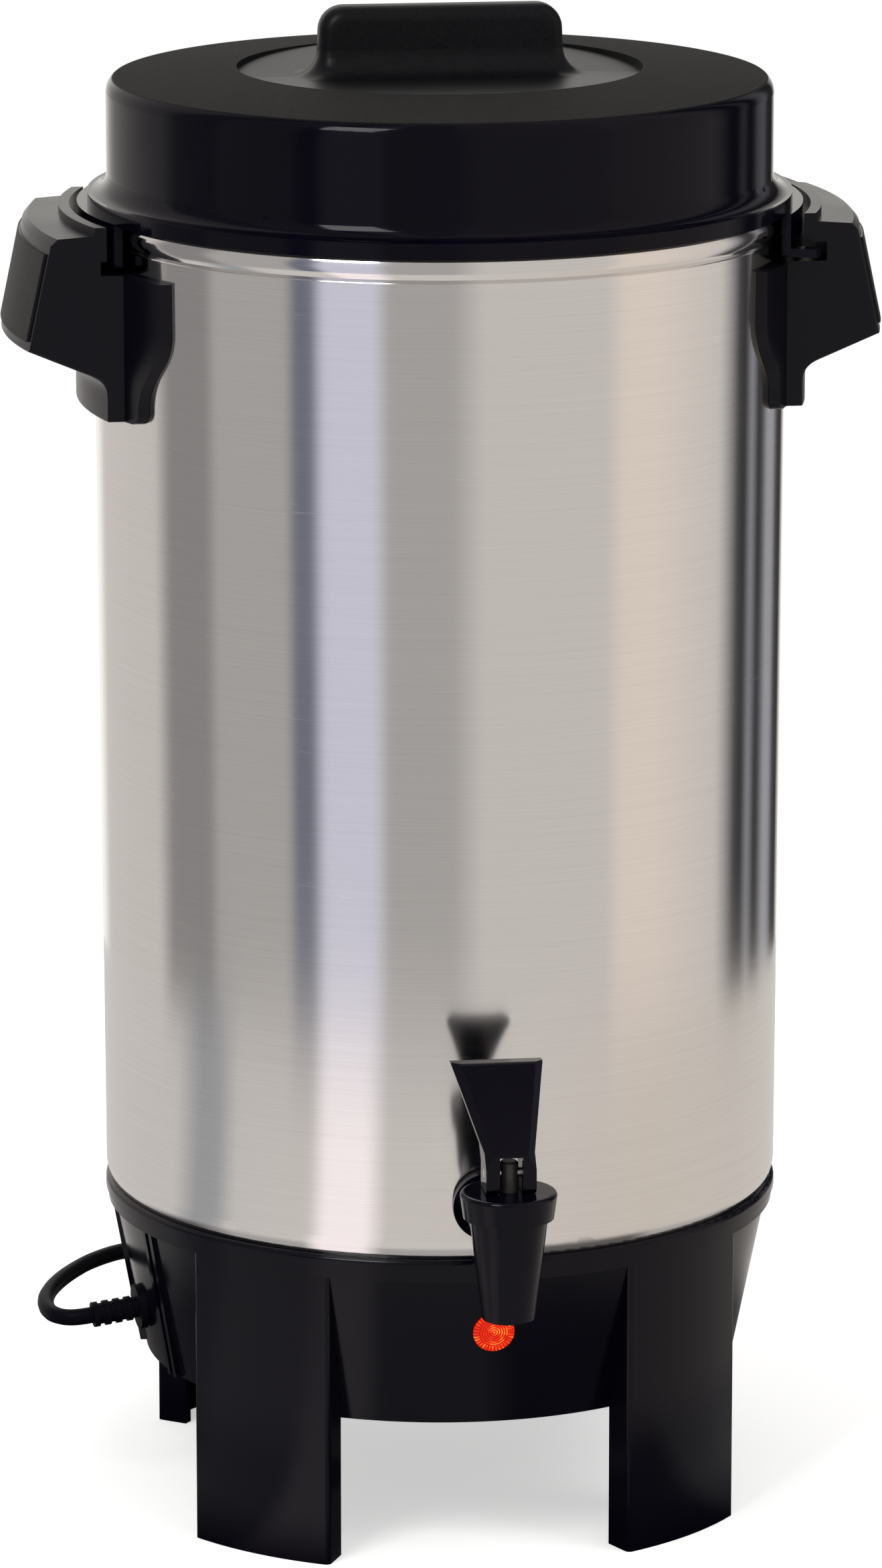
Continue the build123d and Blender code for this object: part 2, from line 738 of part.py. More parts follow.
with BuildPart() as lid:
    with BuildSketch(Plane.XZ):
        with BuildLine():
            Polyline(
                (0, dome_top),
                (0, lid_ceiling),
                (drum_r - lid_wall, lid_ceiling),
                (drum_r - lid_wall, lid_low),
                (flange_r, lid_low),
                (flange_r, flange_top),
                (flange_r - flare_step, flange_top),
            )
            RadiusArc(
                (flange_r - flare_step, flange_top),
                (drum_r, flange_top + flare_height),
                flare_arc_r,
            )
            Line((drum_r, flange_top + flare_height), (drum_r, lid_edge - lid_bevel_drop))
            RadiusArc(
                (drum_r, lid_edge - lid_bevel_drop),
                (dome_edge_r, lid_edge),
                -bevel_arc_r,
            )
            RadiusArc((dome_edge_r, lid_edge), (recess_r, dome_top), -dome_r)
            Line((recess_r, dome_top), (0, dome_top))
        make_face()
    revolve(axis=Axis.Z)
    add(recess.part, mode=Mode.SUBTRACT)
    add(bar.part)
    bar_foot = [
        edge
        for edge in lid.edges()
        if abs(edge.center().X) < bar_length / 2 + 1
        and abs(edge.center().Y) < bar_thickness / 2 + 1
        and valley_floor - 0.1 < edge.center().Z < dome_top
    ]
    fillet(bar_foot, radius=bar_flare)
    # The bar is hollow from below, round the boss that the lid turns on
    with BuildSketch(Plane.XY.offset(lid_ceiling)):
        Rectangle(bar_length - 2 * bar_wall, bar_thickness - 2 * lid_wall)
    extrude(amount=bar_top - lid_wall - lid_ceiling, taper=bar_draft_angle, mode=Mode.SUBTRACT)
    with BuildSketch(Plane.XY.offset(lid_boss_low)):
        Circle(lid_boss_r)
    extrude(amount=valley_floor - lid_boss_low)
    with BuildSketch(Plane.XY.offset(lid_boss_low)):
        Circle(liner_stud_r + running_gap)
    extrude(amount=liner_stud_length + seat_gap, mode=Mode.SUBTRACT)
    # A tab on each side, with a foot at its end that turns into the handle's slot
    for turn in (-side_turn, side_turn):
        foot_start = turn - foot_open_angle - foot_angle
        for inner, outer, low, high, finish in (
            (tab_inner_r, tab_outer_r, tab_low, tab_top, turn + tab_tail_angle),
            (drum_r, tab_outer_r, lid_low, tab_top, turn + tab_tail_angle),
            (tab_inner_r, foot_r, tab_low, foot_top, turn - foot_open_angle),
        ):
            with BuildSketch(Plane.XY.offset(low)):
                ring_piece(outer, inner, foot_start, finish)
            extrude(amount=high - low)
save("lid", lid)

liner_r = tank_top_r - tank_wall - liner_side_gap
with BuildPart() as lid_liner:
    # A shallow pan that hangs inside the tank's rim
    with BuildSketch(Plane.XY.offset(liner_low)):
        Circle(liner_r)
    extrude(amount=liner_depth)
    fillet(lid_liner.edges().group_by(Axis.Z)[0], radius=liner_corner_r)
    with BuildSketch(Plane.XY.offset(liner_floor)):
        Circle(liner_r - liner_wall)
    extrude(amount=liner_depth, mode=Mode.SUBTRACT)
    with BuildSketch(Plane.XY.offset(liner_low)):
        Circle(liner_stud_r + touch_gap)
    extrude(amount=liner_wall, mode=Mode.SUBTRACT)
save("lid_liner", lid_liner)

with BuildPart() as liner_stud:
    # The stud that the lid turns on, its head under the liner
    with BuildSketch(Plane.XY.offset(liner_low)):
        Circle(liner_stud_head_r)
    extrude(amount=-liner_stud_head_height)
    fillet(liner_stud.edges().group_by(Axis.Z)[0], radius=liner_stud_head_height / 2)
    with BuildSketch(Plane.XY.offset(liner_low)):
        Circle(liner_stud_r)
    extrude(amount=lid_boss_low - liner_low + liner_stud_length)
save("liner_stud", liner_stud)

# ------------------------------------------------------------------ handles
handle_low = rim_top - handle_foot_drop
groove_low = tab_low - groove_clearance
groove_r = tab_outer_r + groove_gap
foot_slot_r = foot_r + foot_gap
foot_slot_top = foot_top + foot_gap
foot_slot_angle = foot_open_angle - lock_turn_angle - degrees(foot_gap / foot_r)
handle_top_r = tank_top_r + grip_reach
handle_low_r = handle_top_r + grip_lean
handle_foot_r = tank_top_r + handle_foot_proud
handle_axis = Axis((-handle_back, 0, 0), (0, 0, 1))
collar_r = groove_r + collar_wall
handle_top = rim_top - handle_top_drop
grip_top = rim_top - grip_top_drop
grip_low = rim_top - grip_low_drop
pocket_top = groove_low - pocket_roof
pocket_inner_x = handle_foot_r + pocket_inset
under_low = grip_low - under_slope_rise
panel_low = grip_low + grip_face_margin
panel_top = grip_top - grip_face_margin
grip_slope = (handle_low_r - handle_top_r) / (grip_top - grip_low)
head_sag = handle_screw_head_r**2 / (2 * (tank_low_r - 2 * tank_wall))


def grip_x(height):
    """Outside of the grip's face at a height above the floor."""
    return handle_top_r + (grip_top - height) * grip_slope


with BuildPart() as grip_pocket:
    # The hollow for the fingers, open below
    with BuildSketch(Plane.XZ):
        with BuildLine():
            Polyline(
                (pocket_inner_x, handle_low),
                (pocket_inner_x, pocket_top),
                (grip_x(pocket_top) - pocket_wall, pocket_top),
                (grip_x(handle_low) - pocket_wall, handle_low),
                close=True,
            )
        make_face()
    revolve(axis=handle_axis)
    Box(
        2 * handle_low_r,
        handle_width - 2 * pocket_wall,
        2 * rim_top,
        align=(Align.MIN, Align.CENTER, Align.CENTER),
        mode=Mode.INTERSECT,
    )
    fillet(grip_pocket.edges().group_by(Axis.Z)[-1], radius=pocket_round)

with BuildPart() as tank_space:
    with BuildSketch(Plane.XZ):
        Polygon(*tank_skin(touch_gap, tank_floor, rim_top), align=None)
    revolve(axis=Axis.Z)

with BuildPart() as tank_inside:
    with BuildSketch(Plane.XZ):
        Polygon(*tank_skin(-tank_wall, tank_floor, rim_top), align=None)
    revolve(axis=Axis.Z)

with BuildPart() as pad_outline:
    # Front view of the pad behind the handle, wide above and narrower at its foot
    with BuildSketch(Plane.YZ):
        with BuildLine():
            Polyline(
                (0, handle_low),
                (pad_foot_half_width - pad_corner_r, handle_low),
            )
            RadiusArc(
                (pad_foot_half_width - pad_corner_r, handle_low),
                (pad_foot_half_width, handle_low + pad_corner_r),
                -pad_corner_r,
            )
            Spline(
                (pad_foot_half_width, handle_low + pad_corner_r),
                (pad_half_width, groove_low - pad_wing_height),
                tangents=((0, 1), (0, 1)),
            )
            Polyline(
                (pad_half_width, groove_low - pad_wing_height),
                (pad_half_width, groove_low),
                (0, groove_low),
                (0, handle_low),
            )
        make_face()
        mirror(about=Plane.YZ)
    extrude(amount=handle_low_r)

with BuildPart() as pad:
    # The pad lies round the tank behind the handle
    with BuildSketch(Plane.XY.offset(handle_low)):
        Circle(tank_top_r + pad_thickness)
    extrude(amount=groove_low - handle_low)
    add(pad_outline.part, mode=Mode.INTERSECT)

with BuildPart() as grip_face:
    # A raised panel on the face of the grip
    with BuildSketch(Plane.XZ):
        with BuildLine():
            Polyline(
                (grip_x(panel_low) - pocket_wall / 2, panel_low),
                (grip_x(panel_low) + grip_face_proud, panel_low),
                (grip_x(panel_top) + grip_face_proud, panel_top),
                (grip_x(panel_top) - pocket_wall / 2, panel_top),
                close=True,
            )
        make_face()
    revolve(axis=handle_axis)
    Box(
        2 * handle_low_r,
        handle_width - 2 * grip_face_margin,
        2 * rim_top,
        align=(Align.MIN, Align.CENTER, Align.CENTER),
        mode=Mode.INTERSECT,
    )

with BuildPart() as handle_right:
    with BuildSketch(Plane.XZ):
        with BuildLine():
            Polyline(
                (0, handle_low),
                (handle_foot_r, handle_low),
                (handle_foot_r, under_low - foot_round_drop),
            )
            Spline(
                (handle_foot_r, under_low - foot_round_drop),
                (handle_foot_r + foot_round_reach, under_low),
                tangents=(
                    (0, 1),
                    (handle_low_r - handle_foot_r - foot_round_reach, under_slope_rise),
                ),
            )
            Polyline(
                (handle_foot_r + foot_round_reach, under_low),
                (handle_low_r, grip_low),
                (handle_top_r, grip_top),
                (handle_top_r - grip_top_round, handle_top),
                (collar_r, handle_top + ledge_rise),
                (0, handle_top + ledge_rise),
                (0, handle_low),
            )
        make_face()
    revolve(axis=handle_axis)
    Box(
        2 * handle_low_r,
        handle_width,
        2 * rim_top,
        align=(Align.MIN, Align.CENTER, Align.CENTER),
        mode=Mode.INTERSECT,
    )
    add(grip_pocket.part, mode=Mode.SUBTRACT)
    outer_edges = [
        edge
        for edge in handle_right.edges()
        if edge.center().X > handle_foot_r
        and abs(edge.center().Y) > handle_width / 2 - touch_gap
        and edge.center().Z < grip_top
    ]
    fillet(outer_edges, radius=handle_edge_round)
    add(grip_face.part)
    # The collar stands up behind the lid's tab
    with BuildSketch(Plane.XY.offset(groove_low)):
        Circle(collar_r)
        with Locations((0, 0)):
            Rectangle(
                2 * collar_r,
                handle_width,
                align=(Align.MIN, Align.CENTER),
                mode=Mode.INTERSECT,
            )
    extrude(amount=rim_top + collar_rise - groove_low)
    add(pad.part)
    # Room for the lid's tab, an undercut below it and the slot that its foot turns into
    with BuildSketch(Plane.XY.offset(groove_low)):
        Circle(groove_r)
    extrude(amount=handle_foot_drop, mode=Mode.SUBTRACT)
    for radius, high, finish in (
        (groove_r + groove_undercut, groove_low + undercut_height, 3 * side_turn / 2),
        (foot_slot_r, foot_slot_top, side_turn - foot_slot_angle),
    ):
        with BuildSketch(Plane.XY.offset(groove_low)):
            ring_piece(radius, drum_r, side_turn / 2, finish)
        extrude(amount=high - groove_low, mode=Mode.SUBTRACT)
    add(tank_space.part, mode=Mode.SUBTRACT)
    with BuildSketch(Plane.YZ):
        with Locations(*[(0, height) for height in handle_screw_heights]):
            Circle(handle_screw_r + touch_gap)
    extrude(amount=tank_top_r + handle_screw_reach, mode=Mode.SUBTRACT)
save("handle_right", handle_right)

with BuildPart() as handle_left:
    add(handle_right.part, rotation=(0, 0, 2 * side_turn))
save("handle_left", handle_left)

with BuildPart() as handle_screws:
    # Two to each handle, put in from inside the tank
    for side in (-1, 1):
        for height in handle_screw_heights:
            head_x = tank_radius(height) - tank_wall
            screw_plane = Plane(
                origin=(side * head_x, 0, height),
                x_dir=(0, 1, 0),
                z_dir=(side, 0, 0),
            )
            with BuildSketch(screw_plane.offset(-handle_screw_head_height)):
                Circle(handle_screw_head_r)
            extrude(amount=handle_screw_head_height - head_sag)
            with BuildSketch(screw_plane.offset(-head_sag)):
                Circle(handle_screw_r)
            extrude(amount=tank_wall + handle_screw_reach)
save("handle_screws", handle_screws)

# ------------------------------------------------------------------ tap
tap_y = -tap_wall_r - tap_reach
spout_low = tap_height - barrel_drop
barrel_top = tap_height + barrel_rise
neck_top = barrel_top + neck_height
valve_seat = tap_height - seat_drop
bonnet_low = barrel_top + touch_gap
bonnet_ceiling = neck_top + touch_gap
bonnet_upper = bonnet_ceiling + bonnet_top
flange_back_y = -tap_wall_r - tap_washer_thickness
washer_sag = tap_washer_r**2 / tap_wall_r
shank_end_y = -tap_wall_r + tank_wall + shank_inside
pin_height = bonnet_upper + pin_rise
tap_axis = Axis((0, tap_y, 0), (0, 0, 1))
tap_section = Plane(origin=(0, tap_y, 0), x_dir=(1, 0, 0), z_dir=(0, -1, 0))

with BuildPart() as tap_body:
    with BuildSketch(tap_section):
        with BuildLine():
            Polyline(
                (0, spout_low),
                (barrel_low_r, spout_low),
                (barrel_top_r, barrel_top),
                (neck_r, barrel_top),
                (neck_r, neck_top),
                (0, neck_top),
                close=True,
            )
        make_face()
    revolve(axis=tap_axis)
    with BuildSketch(Plane.XZ.offset(-shank_end_y)):
        with Locations((0, tap_height)):
            Circle(shank_r)
    extrude(amount=shank_end_y - tap_y)
    with BuildSketch(Plane.XZ.offset(-flange_back_y)):
        with Locations((0, tap_height)):
            Circle(tap_flange_r)
    extrude(amount=tap_flange_thickness)
    # Outlet, valve seat and chamber, and the way in through the shank
    for radius, low, high in (
        (outlet_bore_r, spout_low, valve_seat - seat_height),
        (seat_bore_r, spout_low, valve_seat),
        (chamber_r, valve_seat, neck_top),
    ):
        with BuildSketch(Plane.XY.offset(low)):
            with Locations((0, tap_y)):
                Circle(radius)
        extrude(amount=high - low, mode=Mode.SUBTRACT)
    with BuildSketch(Plane.XZ.offset(-shank_end_y)):
        with Locations((0, tap_height)):
            Circle(shank_bore_r)
    extrude(amount=shank_end_y - tap_y, mode=Mode.SUBTRACT)
    spout_rim = tap_body.edges().filter_by(GeomType.CIRCLE).group_by(Axis.Z)[0]
    fillet(spout_rim, radius=(barrel_low_r - outlet_bore_r) / 4)
save("tap_body", tap_body)

with BuildPart() as tap_bonnet:
    with BuildSketch(tap_section):
        with BuildLine():
            Polyline(
                (neck_r + running_gap, bonnet_low),
                (bonnet_r - bonnet_taper, bonnet_low),
                (bonnet_r, bonnet_upper - bonnet_round),
            )
            RadiusArc(
                (bonnet_r, bonnet_upper - bonnet_round),
                (bonnet_r - bonnet_round, bonnet_upper),
                -bonnet_round,
            )
            Polyline(
                (bonnet_r - bonnet_round, bonnet_upper),
                (stem_r + running_gap, bonnet_upper),
                (stem_r + running_gap, bonnet_ceiling),
                (neck_r + running_gap, bonnet_ceiling),
                (neck_r + running_gap, bonnet_low),
            )
        make_face()
    revolve(axis=tap_axis)
save("tap_bonnet", tap_bonnet)

with BuildPart() as tap_washer:
    with BuildSketch(Plane.XZ.offset(-flange_back_y)):
        with Locations((0, tap_height)):
            Circle(tap_washer_r)
            Circle(shank_r + running_gap, mode=Mode.SUBTRACT)
    extrude(amount=-tap_washer_thickness - washer_sag)
    add(tank_space.part, mode=Mode.SUBTRACT)
save("tap_washer", tap_washer)

inner_washer_y = -tap_wall_r + tank_wall + tap_washer_thickness
with BuildPart() as tap_inner_washer:
    with BuildSketch(Plane.XZ.offset(-inner_washer_y)):
        with Locations((0, tap_height)):
            Circle(tap_washer_r)
            Circle(shank_r + running_gap, mode=Mode.SUBTRACT)
    extrude(amount=tap_washer_thickness + washer_sag)
    add(tank_inside.part, mode=Mode.INTERSECT)
save("tap_inner_washer", tap_inner_washer)

with BuildPart() as tap_nut:
    with BuildSketch(Plane.XZ.offset(-inner_washer_y)):
        with Locations((0, tap_height)):
            RegularPolygon(tap_nut_across_flats / 2, 6, major_radius=False)
            Circle(shank_r + running_gap, mode=Mode.SUBTRACT)
    extrude(amount=-tap_nut_height)
save("tap_nut", tap_nut)

# ------------------------------------------------------------------ tap valve
cup_low = valve_seat + seat_gap
cup_top = cup_low + cup_height
stem_flange_top = cup_top + stem_flange_height
stem_top = pin_height + stem_over_pin
spring_top = bonnet_ceiling - touch_gap

with BuildPart() as seat_cup:
    # A soft cup on the stem's end that closes the seat
    with BuildSketch(Plane.XY.offset(cup_low)):
        with Locations((0, tap_y)):
            Circle(cup_r)
    extrude(amount=cup_height)
    chamfer(seat_cup.edges().group_by(Axis.Z)[0], length=cup_wall / 2)
    with BuildSketch(Plane.XY.offset(cup_low + cup_wall)):
        with Locations((0, tap_y)):
            Circle(stem_r)
    extrude(amount=cup_height, mode=Mode.SUBTRACT)
save("seat_cup", seat_cup)

with BuildPart() as valve_stem:
    with BuildSketch(Plane.XY.offset(cup_low + cup_wall)):
        with Locations((0, tap_y)):
            Circle(stem_r)
    extrude(amount=stem_top - cup_low - cup_wall)
    chamfer(valve_stem.edges().group_by(Axis.Z)[-1], length=stem_r / 5)
    with BuildSketch(Plane.XY.offset(cup_top)):
        with Locations((0, tap_y)):
            Circle(spring_r + spring_wire_r)
    extrude(amount=stem_flange_height)
    with BuildSketch(Plane.YZ):
        with Locations((tap_y, pin_height)):
            Circle(pin_r + running_gap)
    extrude(amount=2 * stem_r, both=True, mode=Mode.SUBTRACT)
save("valve_stem", valve_stem)

spring_low = stem_flange_top + spring_wire_r
spring_pitch = (spring_top - spring_low - spring_wire_r) / spring_turns
with BuildPart() as valve_spring:
    with BuildLine():
        coil = Helix(
            spring_pitch,
            spring_pitch * spring_turns,
            spring_r,
            center=(0, tap_y, spring_low),
        )
    with BuildSketch(Plane(origin=coil @ 0, z_dir=coil % 0)):
        Circle(spring_wire_r)
    sweep(path=coil)
save("valve_spring", valve_spring)

# ------------------------------------------------------------------ tap lever
lever_side = Plane(origin=(0, tap_y, pin_height), x_dir=(0, 1, 0), z_dir=(1, 0, 0))
lever_front = Plane(origin=(0, tap_y, pin_height), x_dir=(1, 0, 0), z_dir=(0, -1, 0))
heel_low = seat_gap - pin_rise
face_rise = lever_rise - heel_rise
face_run = heel_half_depth + lever_back - paddle_top_thickness
face_normal = Vector(0, -face_rise, face_run)

with BuildPart() as tap_lever:
    # Side view: a heel over the bonnet, then a paddle that leans back over the tap
    with BuildSketch(lever_side):
        with BuildLine():
            Polyline(
                (-heel_half_depth + heel_chamfer, heel_low),
                (-heel_half_depth, heel_low + heel_chamfer),
                (-heel_half_depth, heel_rise),
                (face_run - heel_half_depth, lever_rise),
                (lever_back, lever_rise - paddle_back_drop),
                (heel_half_depth, heel_rise - yoke_back_drop),
                (heel_half_depth, heel_low),
                close=True,
            )
        make_face()
    extrude(amount=paddle_half_width, both=True)
    # Front view: two prongs that widen into the paddle
    with BuildSketch(lever_front):
        with BuildLine():
            Polyline(
                (-yoke_half_width, heel_low),
                (-yoke_half_width, heel_rise),
                (-paddle_half_width, lever_rise - paddle_back_drop),
                (-paddle_half_width, lever_rise),
                (paddle_half_width, lever_rise),
                (paddle_half_width, lever_rise - paddle_back_drop),
                (yoke_half_width, heel_rise),
                (yoke_half_width, heel_low),
                close=True,
            )
        make_face()
    extrude(amount=2 * lever_back, both=True, mode=Mode.INTERSECT)
    fillet(tap_lever.edges().group_by(Axis.Z)[-1].sort_by(Axis.Y)[0], radius=paddle_round)
    # Bevels down both sides of the paddle's face
    for side in (-1, 1):
        side_normal = Vector(side * face_rise, 0, yoke_half_width - paddle_half_width)
        bevel_normal = (face_normal.normalized() + side_normal.normalized()).normalized()
        corner = Vector(
            side * paddle_half_width,
            tap_y - heel_half_depth + face_run,
            pin_height + lever_rise,
        )
        split(
            bisect_by=Plane(origin=corner - bevel_normal * paddle_bevel, z_dir=bevel_normal),
            keep=Keep.BOTTOM,
        )
    with BuildSketch(lever_front):
        with Locations((0, heel_low)):
            Rectangle(
                2 * (stem_r + yoke_gap),
                slot_rise - heel_low,
                align=(Align.CENTER, Align.MIN),
            )
    extrude(amount=2 * lever_back, both=True, mode=Mode.SUBTRACT)
    with BuildSketch(lever_side):
        Circle(pin_r + touch_gap)
    extrude(amount=paddle_half_width, both=True, mode=Mode.SUBTRACT)
save("tap_lever", tap_lever)

with BuildPart() as lever_pin:
    with BuildSketch(lever_side):
        Circle(pin_r)
    extrude(amount=yoke_half_width, both=True)
save("lever_pin", lever_pin)

# ------------------------------------------------------------------ percolator
bell_low = well_floor + seat_gap
bell_top = bell_low + bell_height
tube_top = rim_top - tube_top_drop
basket_floor = rim_top - basket_drop
basket_rim = basket_floor + basket_height
sleeve_r = tube_r + sleeve_gap
cover_low = basket_rim + seat_gap
cover_dish = cover_low - cover_drop
cover_dish_r = basket_r - basket_wall - cover_side_gap

with BuildPart() as pump_bell:
    # The foot of the pump: a bell that stands in the tank's well
    with BuildSketch(Plane.XZ):
        with BuildLine():
            Polyline(
                (bell_r - bell_wall, bell_low),
                (bell_r, bell_low),
                (bell_r, bell_low + bell_height / 3),
                (tube_r + touch_gap + bell_wall, bell_top - bell_height / 4),
                (tube_r + touch_gap + bell_wall, bell_top),
                (tube_r + touch_gap, bell_top),
                (tube_r + touch_gap, bell_top - bell_height / 4 - bell_wall),
                (bell_r - bell_wall, bell_low + bell_height / 3 - bell_wall / 2),
                close=True,
            )
        make_face()
    revolve(axis=Axis.Z)
    for turn in quarter_turns:
        with BuildSketch(slice_at(turn + 45).offset(-bell_notch_r)):
            with Locations((bell_r, bell_low)):
                Circle(bell_notch_r)
        extrude(amount=2 * bell_notch_r, mode=Mode.SUBTRACT)
save("pump_bell", pump_bell)

with BuildPart() as pump_tube:
    with BuildSketch(Plane.XY.offset(bell_top - bell_height / 4)):
        Circle(tube_r)
        Circle(tube_r - tube_wall, mode=Mode.SUBTRACT)
    extrude(amount=tube_top - bell_top + bell_height / 4)
save("pump_tube", pump_tube)

with BuildPart() as basket_stop:
    with BuildSketch(Plane.XY.offset(basket_floor - seat_gap)):
        Circle(stop_r)
        Circle(tube_r + touch_gap, mode=Mode.SUBTRACT)
    extrude(amount=-stop_height)
save("basket_stop", basket_stop)

with BuildPart() as basket:
    with BuildSketch(Plane.XZ):
        with BuildLine():
            Polyline(
                (sleeve_r, basket_floor),
                (basket_r, basket_floor),
                (basket_r, basket_rim - basket_rim_r),
                (basket_r + basket_rim_r, basket_rim - basket_rim_r),
                (basket_r + basket_rim_r, basket_rim),
                (basket_r - basket_wall, basket_rim),
                (basket_r - basket_wall, basket_floor + basket_wall),
                (sleeve_r + basket_wall, basket_floor + basket_wall),
                (sleeve_r + basket_wall, cover_dish - sleeve_short),
                (sleeve_r, cover_dish - sleeve_short),
                close=True,
            )
        make_face()
    revolve(axis=Axis.Z)
    rim_edges = basket.edges().filter_by(GeomType.CIRCLE).group_by(SortBy.RADIUS)[-1]
    fillet(rim_edges, radius=basket_rim_r / 3)
    with BuildSketch(Plane.XY.offset(basket_floor)):
        for radius, count in zip(basket_hole_rings, basket_hole_counts):
            with PolarLocations(radius, count):
                Circle(basket_hole_r)
    extrude(amount=basket_wall, mode=Mode.SUBTRACT)
save("basket", basket)

with BuildPart() as basket_cover:
    # A dished spreader that rests on the basket's rim
    with BuildSketch(Plane.XZ):
        with BuildLine():
            Polyline(
                (sleeve_r, cover_dish),
                (cover_dish_r, cover_dish),
                (cover_dish_r, cover_low),
                (basket_r + basket_rim_r, cover_low),
                (basket_r + basket_rim_r, cover_low + cover_wall),
                (cover_dish_r - cover_wall, cover_low + cover_wall),
                (cover_dish_r - cover_wall, cover_dish + cover_wall),
                (sleeve_r + cover_wall, cover_dish + cover_wall),
                (sleeve_r + cover_wall, cover_low + cover_wall),
                (sleeve_r, cover_low + cover_wall),
                close=True,
            )
        make_face()
    revolve(axis=Axis.Z)
    with BuildSketch(Plane.XY.offset(cover_dish)):
        for radius, count in zip(basket_hole_rings, basket_hole_counts):
            with PolarLocations(radius, count):
                Circle(cover_hole_r)
    extrude(amount=cover_wall, mode=Mode.SUBTRACT)
save("basket_cover", basket_cover)

# ------------------------------------------------------------------ cord
outlet_plane = around(outlet_turn, skirt_radius(outlet_height), outlet_height, outlet_tilt)
rib_pitch = (relief_length - relief_flange_height) / (2 * relief_rib_count)
with BuildPart() as strain_relief:
    # A flange on the skirt, a barrel through it and a ribbed sleeve that tapers outwards
    with BuildSketch(outlet_plane):
        Circle(relief_flange_r)
    extrude(amount=relief_flange_height)
    with BuildSketch(outlet_plane):
        Circle(relief_barrel_r)
    extrude(amount=-relief_barrel_length)
    with BuildSketch(outlet_plane.offset(-relief_barrel_length)):
        Circle(relief_flange_r - relief_lip)
    extrude(amount=relief_lip)
    with BuildSketch(outlet_plane):
        Circle(cord_r + relief_lip / 2)
    extrude(amount=relief_length)
    for rib in range(relief_rib_count):
        share = rib / relief_rib_count
        rib_r = relief_r + (cord_r + relief_lip - relief_r) * share
        with BuildSketch(outlet_plane.offset(relief_flange_height + (2 * rib + 1) * rib_pitch)):
            Circle(rib_r)
        extrude(amount=rib_pitch)
save("strain_relief", strain_relief)

cord_start = outlet_plane.offset(relief_length).origin
cord_second = outlet_plane.offset(relief_length + first_run).origin
coil_y = tank_low_r + coil_gap
coil_front_y = coil_y - coil_r - cord_r
coil_rise = sqrt(3) * cord_r  # a turn that lies in the valley between two others
cord_route = [
    cord_start,
    cord_second,
    cord_start + Vector(-6.8, 0.5, -0.7),
    cord_start + Vector(-9.5, 3.2, -0.8),
    cord_start + Vector(-11.0, 7.2, -0.9),
    cord_start + Vector(-11.5, 13.4, -1.0),
    cord_start + Vector(-10.8, 21.9, -1.2),
    cord_start + Vector(-7.9, 32.4, -1.3),
    cord_start + Vector(-2.7, 44.4, -1.5),
    cord_start + Vector(5.1, 58.4, -2.1),
    cord_start + Vector(16.6, 74.4, -4.1),
    cord_start + Vector(29.1, 87.9, -9.0),
    Vector(-54.0, coil_front_y - 15.3, 33.0),
    Vector(-43.0, coil_front_y - 6.8, 22.5),
    Vector(-32.5, coil_front_y - 1.3, 12.5),
    Vector(-22.5, coil_front_y + 0.7, 5.5),
    Vector(-11.5, coil_front_y + 0.1, 2.6),
    Vector(0, coil_front_y, cord_r),
]
lead_y = coil_y - coil_r
plug_lead_route = [
    Vector(0, lead_y, cord_r + coil_rise),
    Vector(11.0, lead_y, cord_r + coil_rise),
    Vector(22.0, lead_y + 1.5, plug_height / 2),
    Vector(32.0, lead_y + 3.5, plug_height / 2),
]


def corner_radii(route):
    """The largest arc that each corner of a route leaves room for."""
    radii = []
    for before, corner, after in zip(route, route[1:], route[2:]):
        into = corner - before
        out = after - corner
        half_turn = radians(into.get_angle(out) / 2)
        radii.append(corner_share * min(into.length, out.length) / tan(half_turn))
    return radii


def run_cord(route):
    """Sweep the cord's round section along straight runs joined by tangent arcs."""
    radii = corner_radii(route)
    print("corner radii", [round(radius, 1) for radius in radii])
    with BuildPart() as tube:
        with BuildLine():
            path = FilletPolyline(*route, radius=radii)
        with BuildSketch(Plane(origin=path @ 0, z_dir=path % 0)):
            Circle(cord_r)
        sweep(path=path)
    share = tube.part.volume / (pi * cord_r**2 * path.length)
    print("length", round(path.length, 1), "volume against section times length", round(share, 4))
    return tube


power_cord = run_cord(cord_route)
save("power_cord", power_cord)
plug_lead = run_cord(plug_lead_route)
save("plug_lead", plug_lead)

with BuildPart() as cord_coil:
    # Outer shape of the coil: two turns side by side on the floor and one on top
    with BuildSketch(Plane.XZ):
        with Locations((coil_r - cord_r, cord_r), (coil_r + cord_r, cord_r)):
            Circle(cord_r)
        with Locations((coil_r, cord_r + coil_rise)):
            Circle(cord_r)
        make_hull()
    revolve(axis=Axis.Z)
cord_coil.part = cord_coil.part.moved(Location((0, coil_y, 0)))
save("cord_coil", cord_coil)

plug_plane = Plane(
    origin=plug_lead_route[-1],
    x_dir=(0, 0, 1),
    z_dir=plug_lead_route[-1] - plug_lead_route[-2],
)

with BuildPart() as plug:
    # A two pin plug that lies flat, its neck round the lead
    with BuildSketch(plug_plane):
        Circle(cord_r + relief_lip)
    extrude(amount=plug_neck)
    with BuildSketch(plug_plane.offset(plug_neck)):
        RectangleRounded(plug_height / 2, plug_width / 2, plug_corner_r)
    with BuildSketch(plug_plane.offset(2 * plug_neck)):
        RectangleRounded(plug_height, plug_width, plug_corner_r)
    loft()
    with BuildSketch(plug_plane.offset(2 * plug_neck)):
        RectangleRounded(plug_height, plug_width, plug_corner_r)
    extrude(amount=plug_length - 2 * plug_neck)
save("plug", plug)

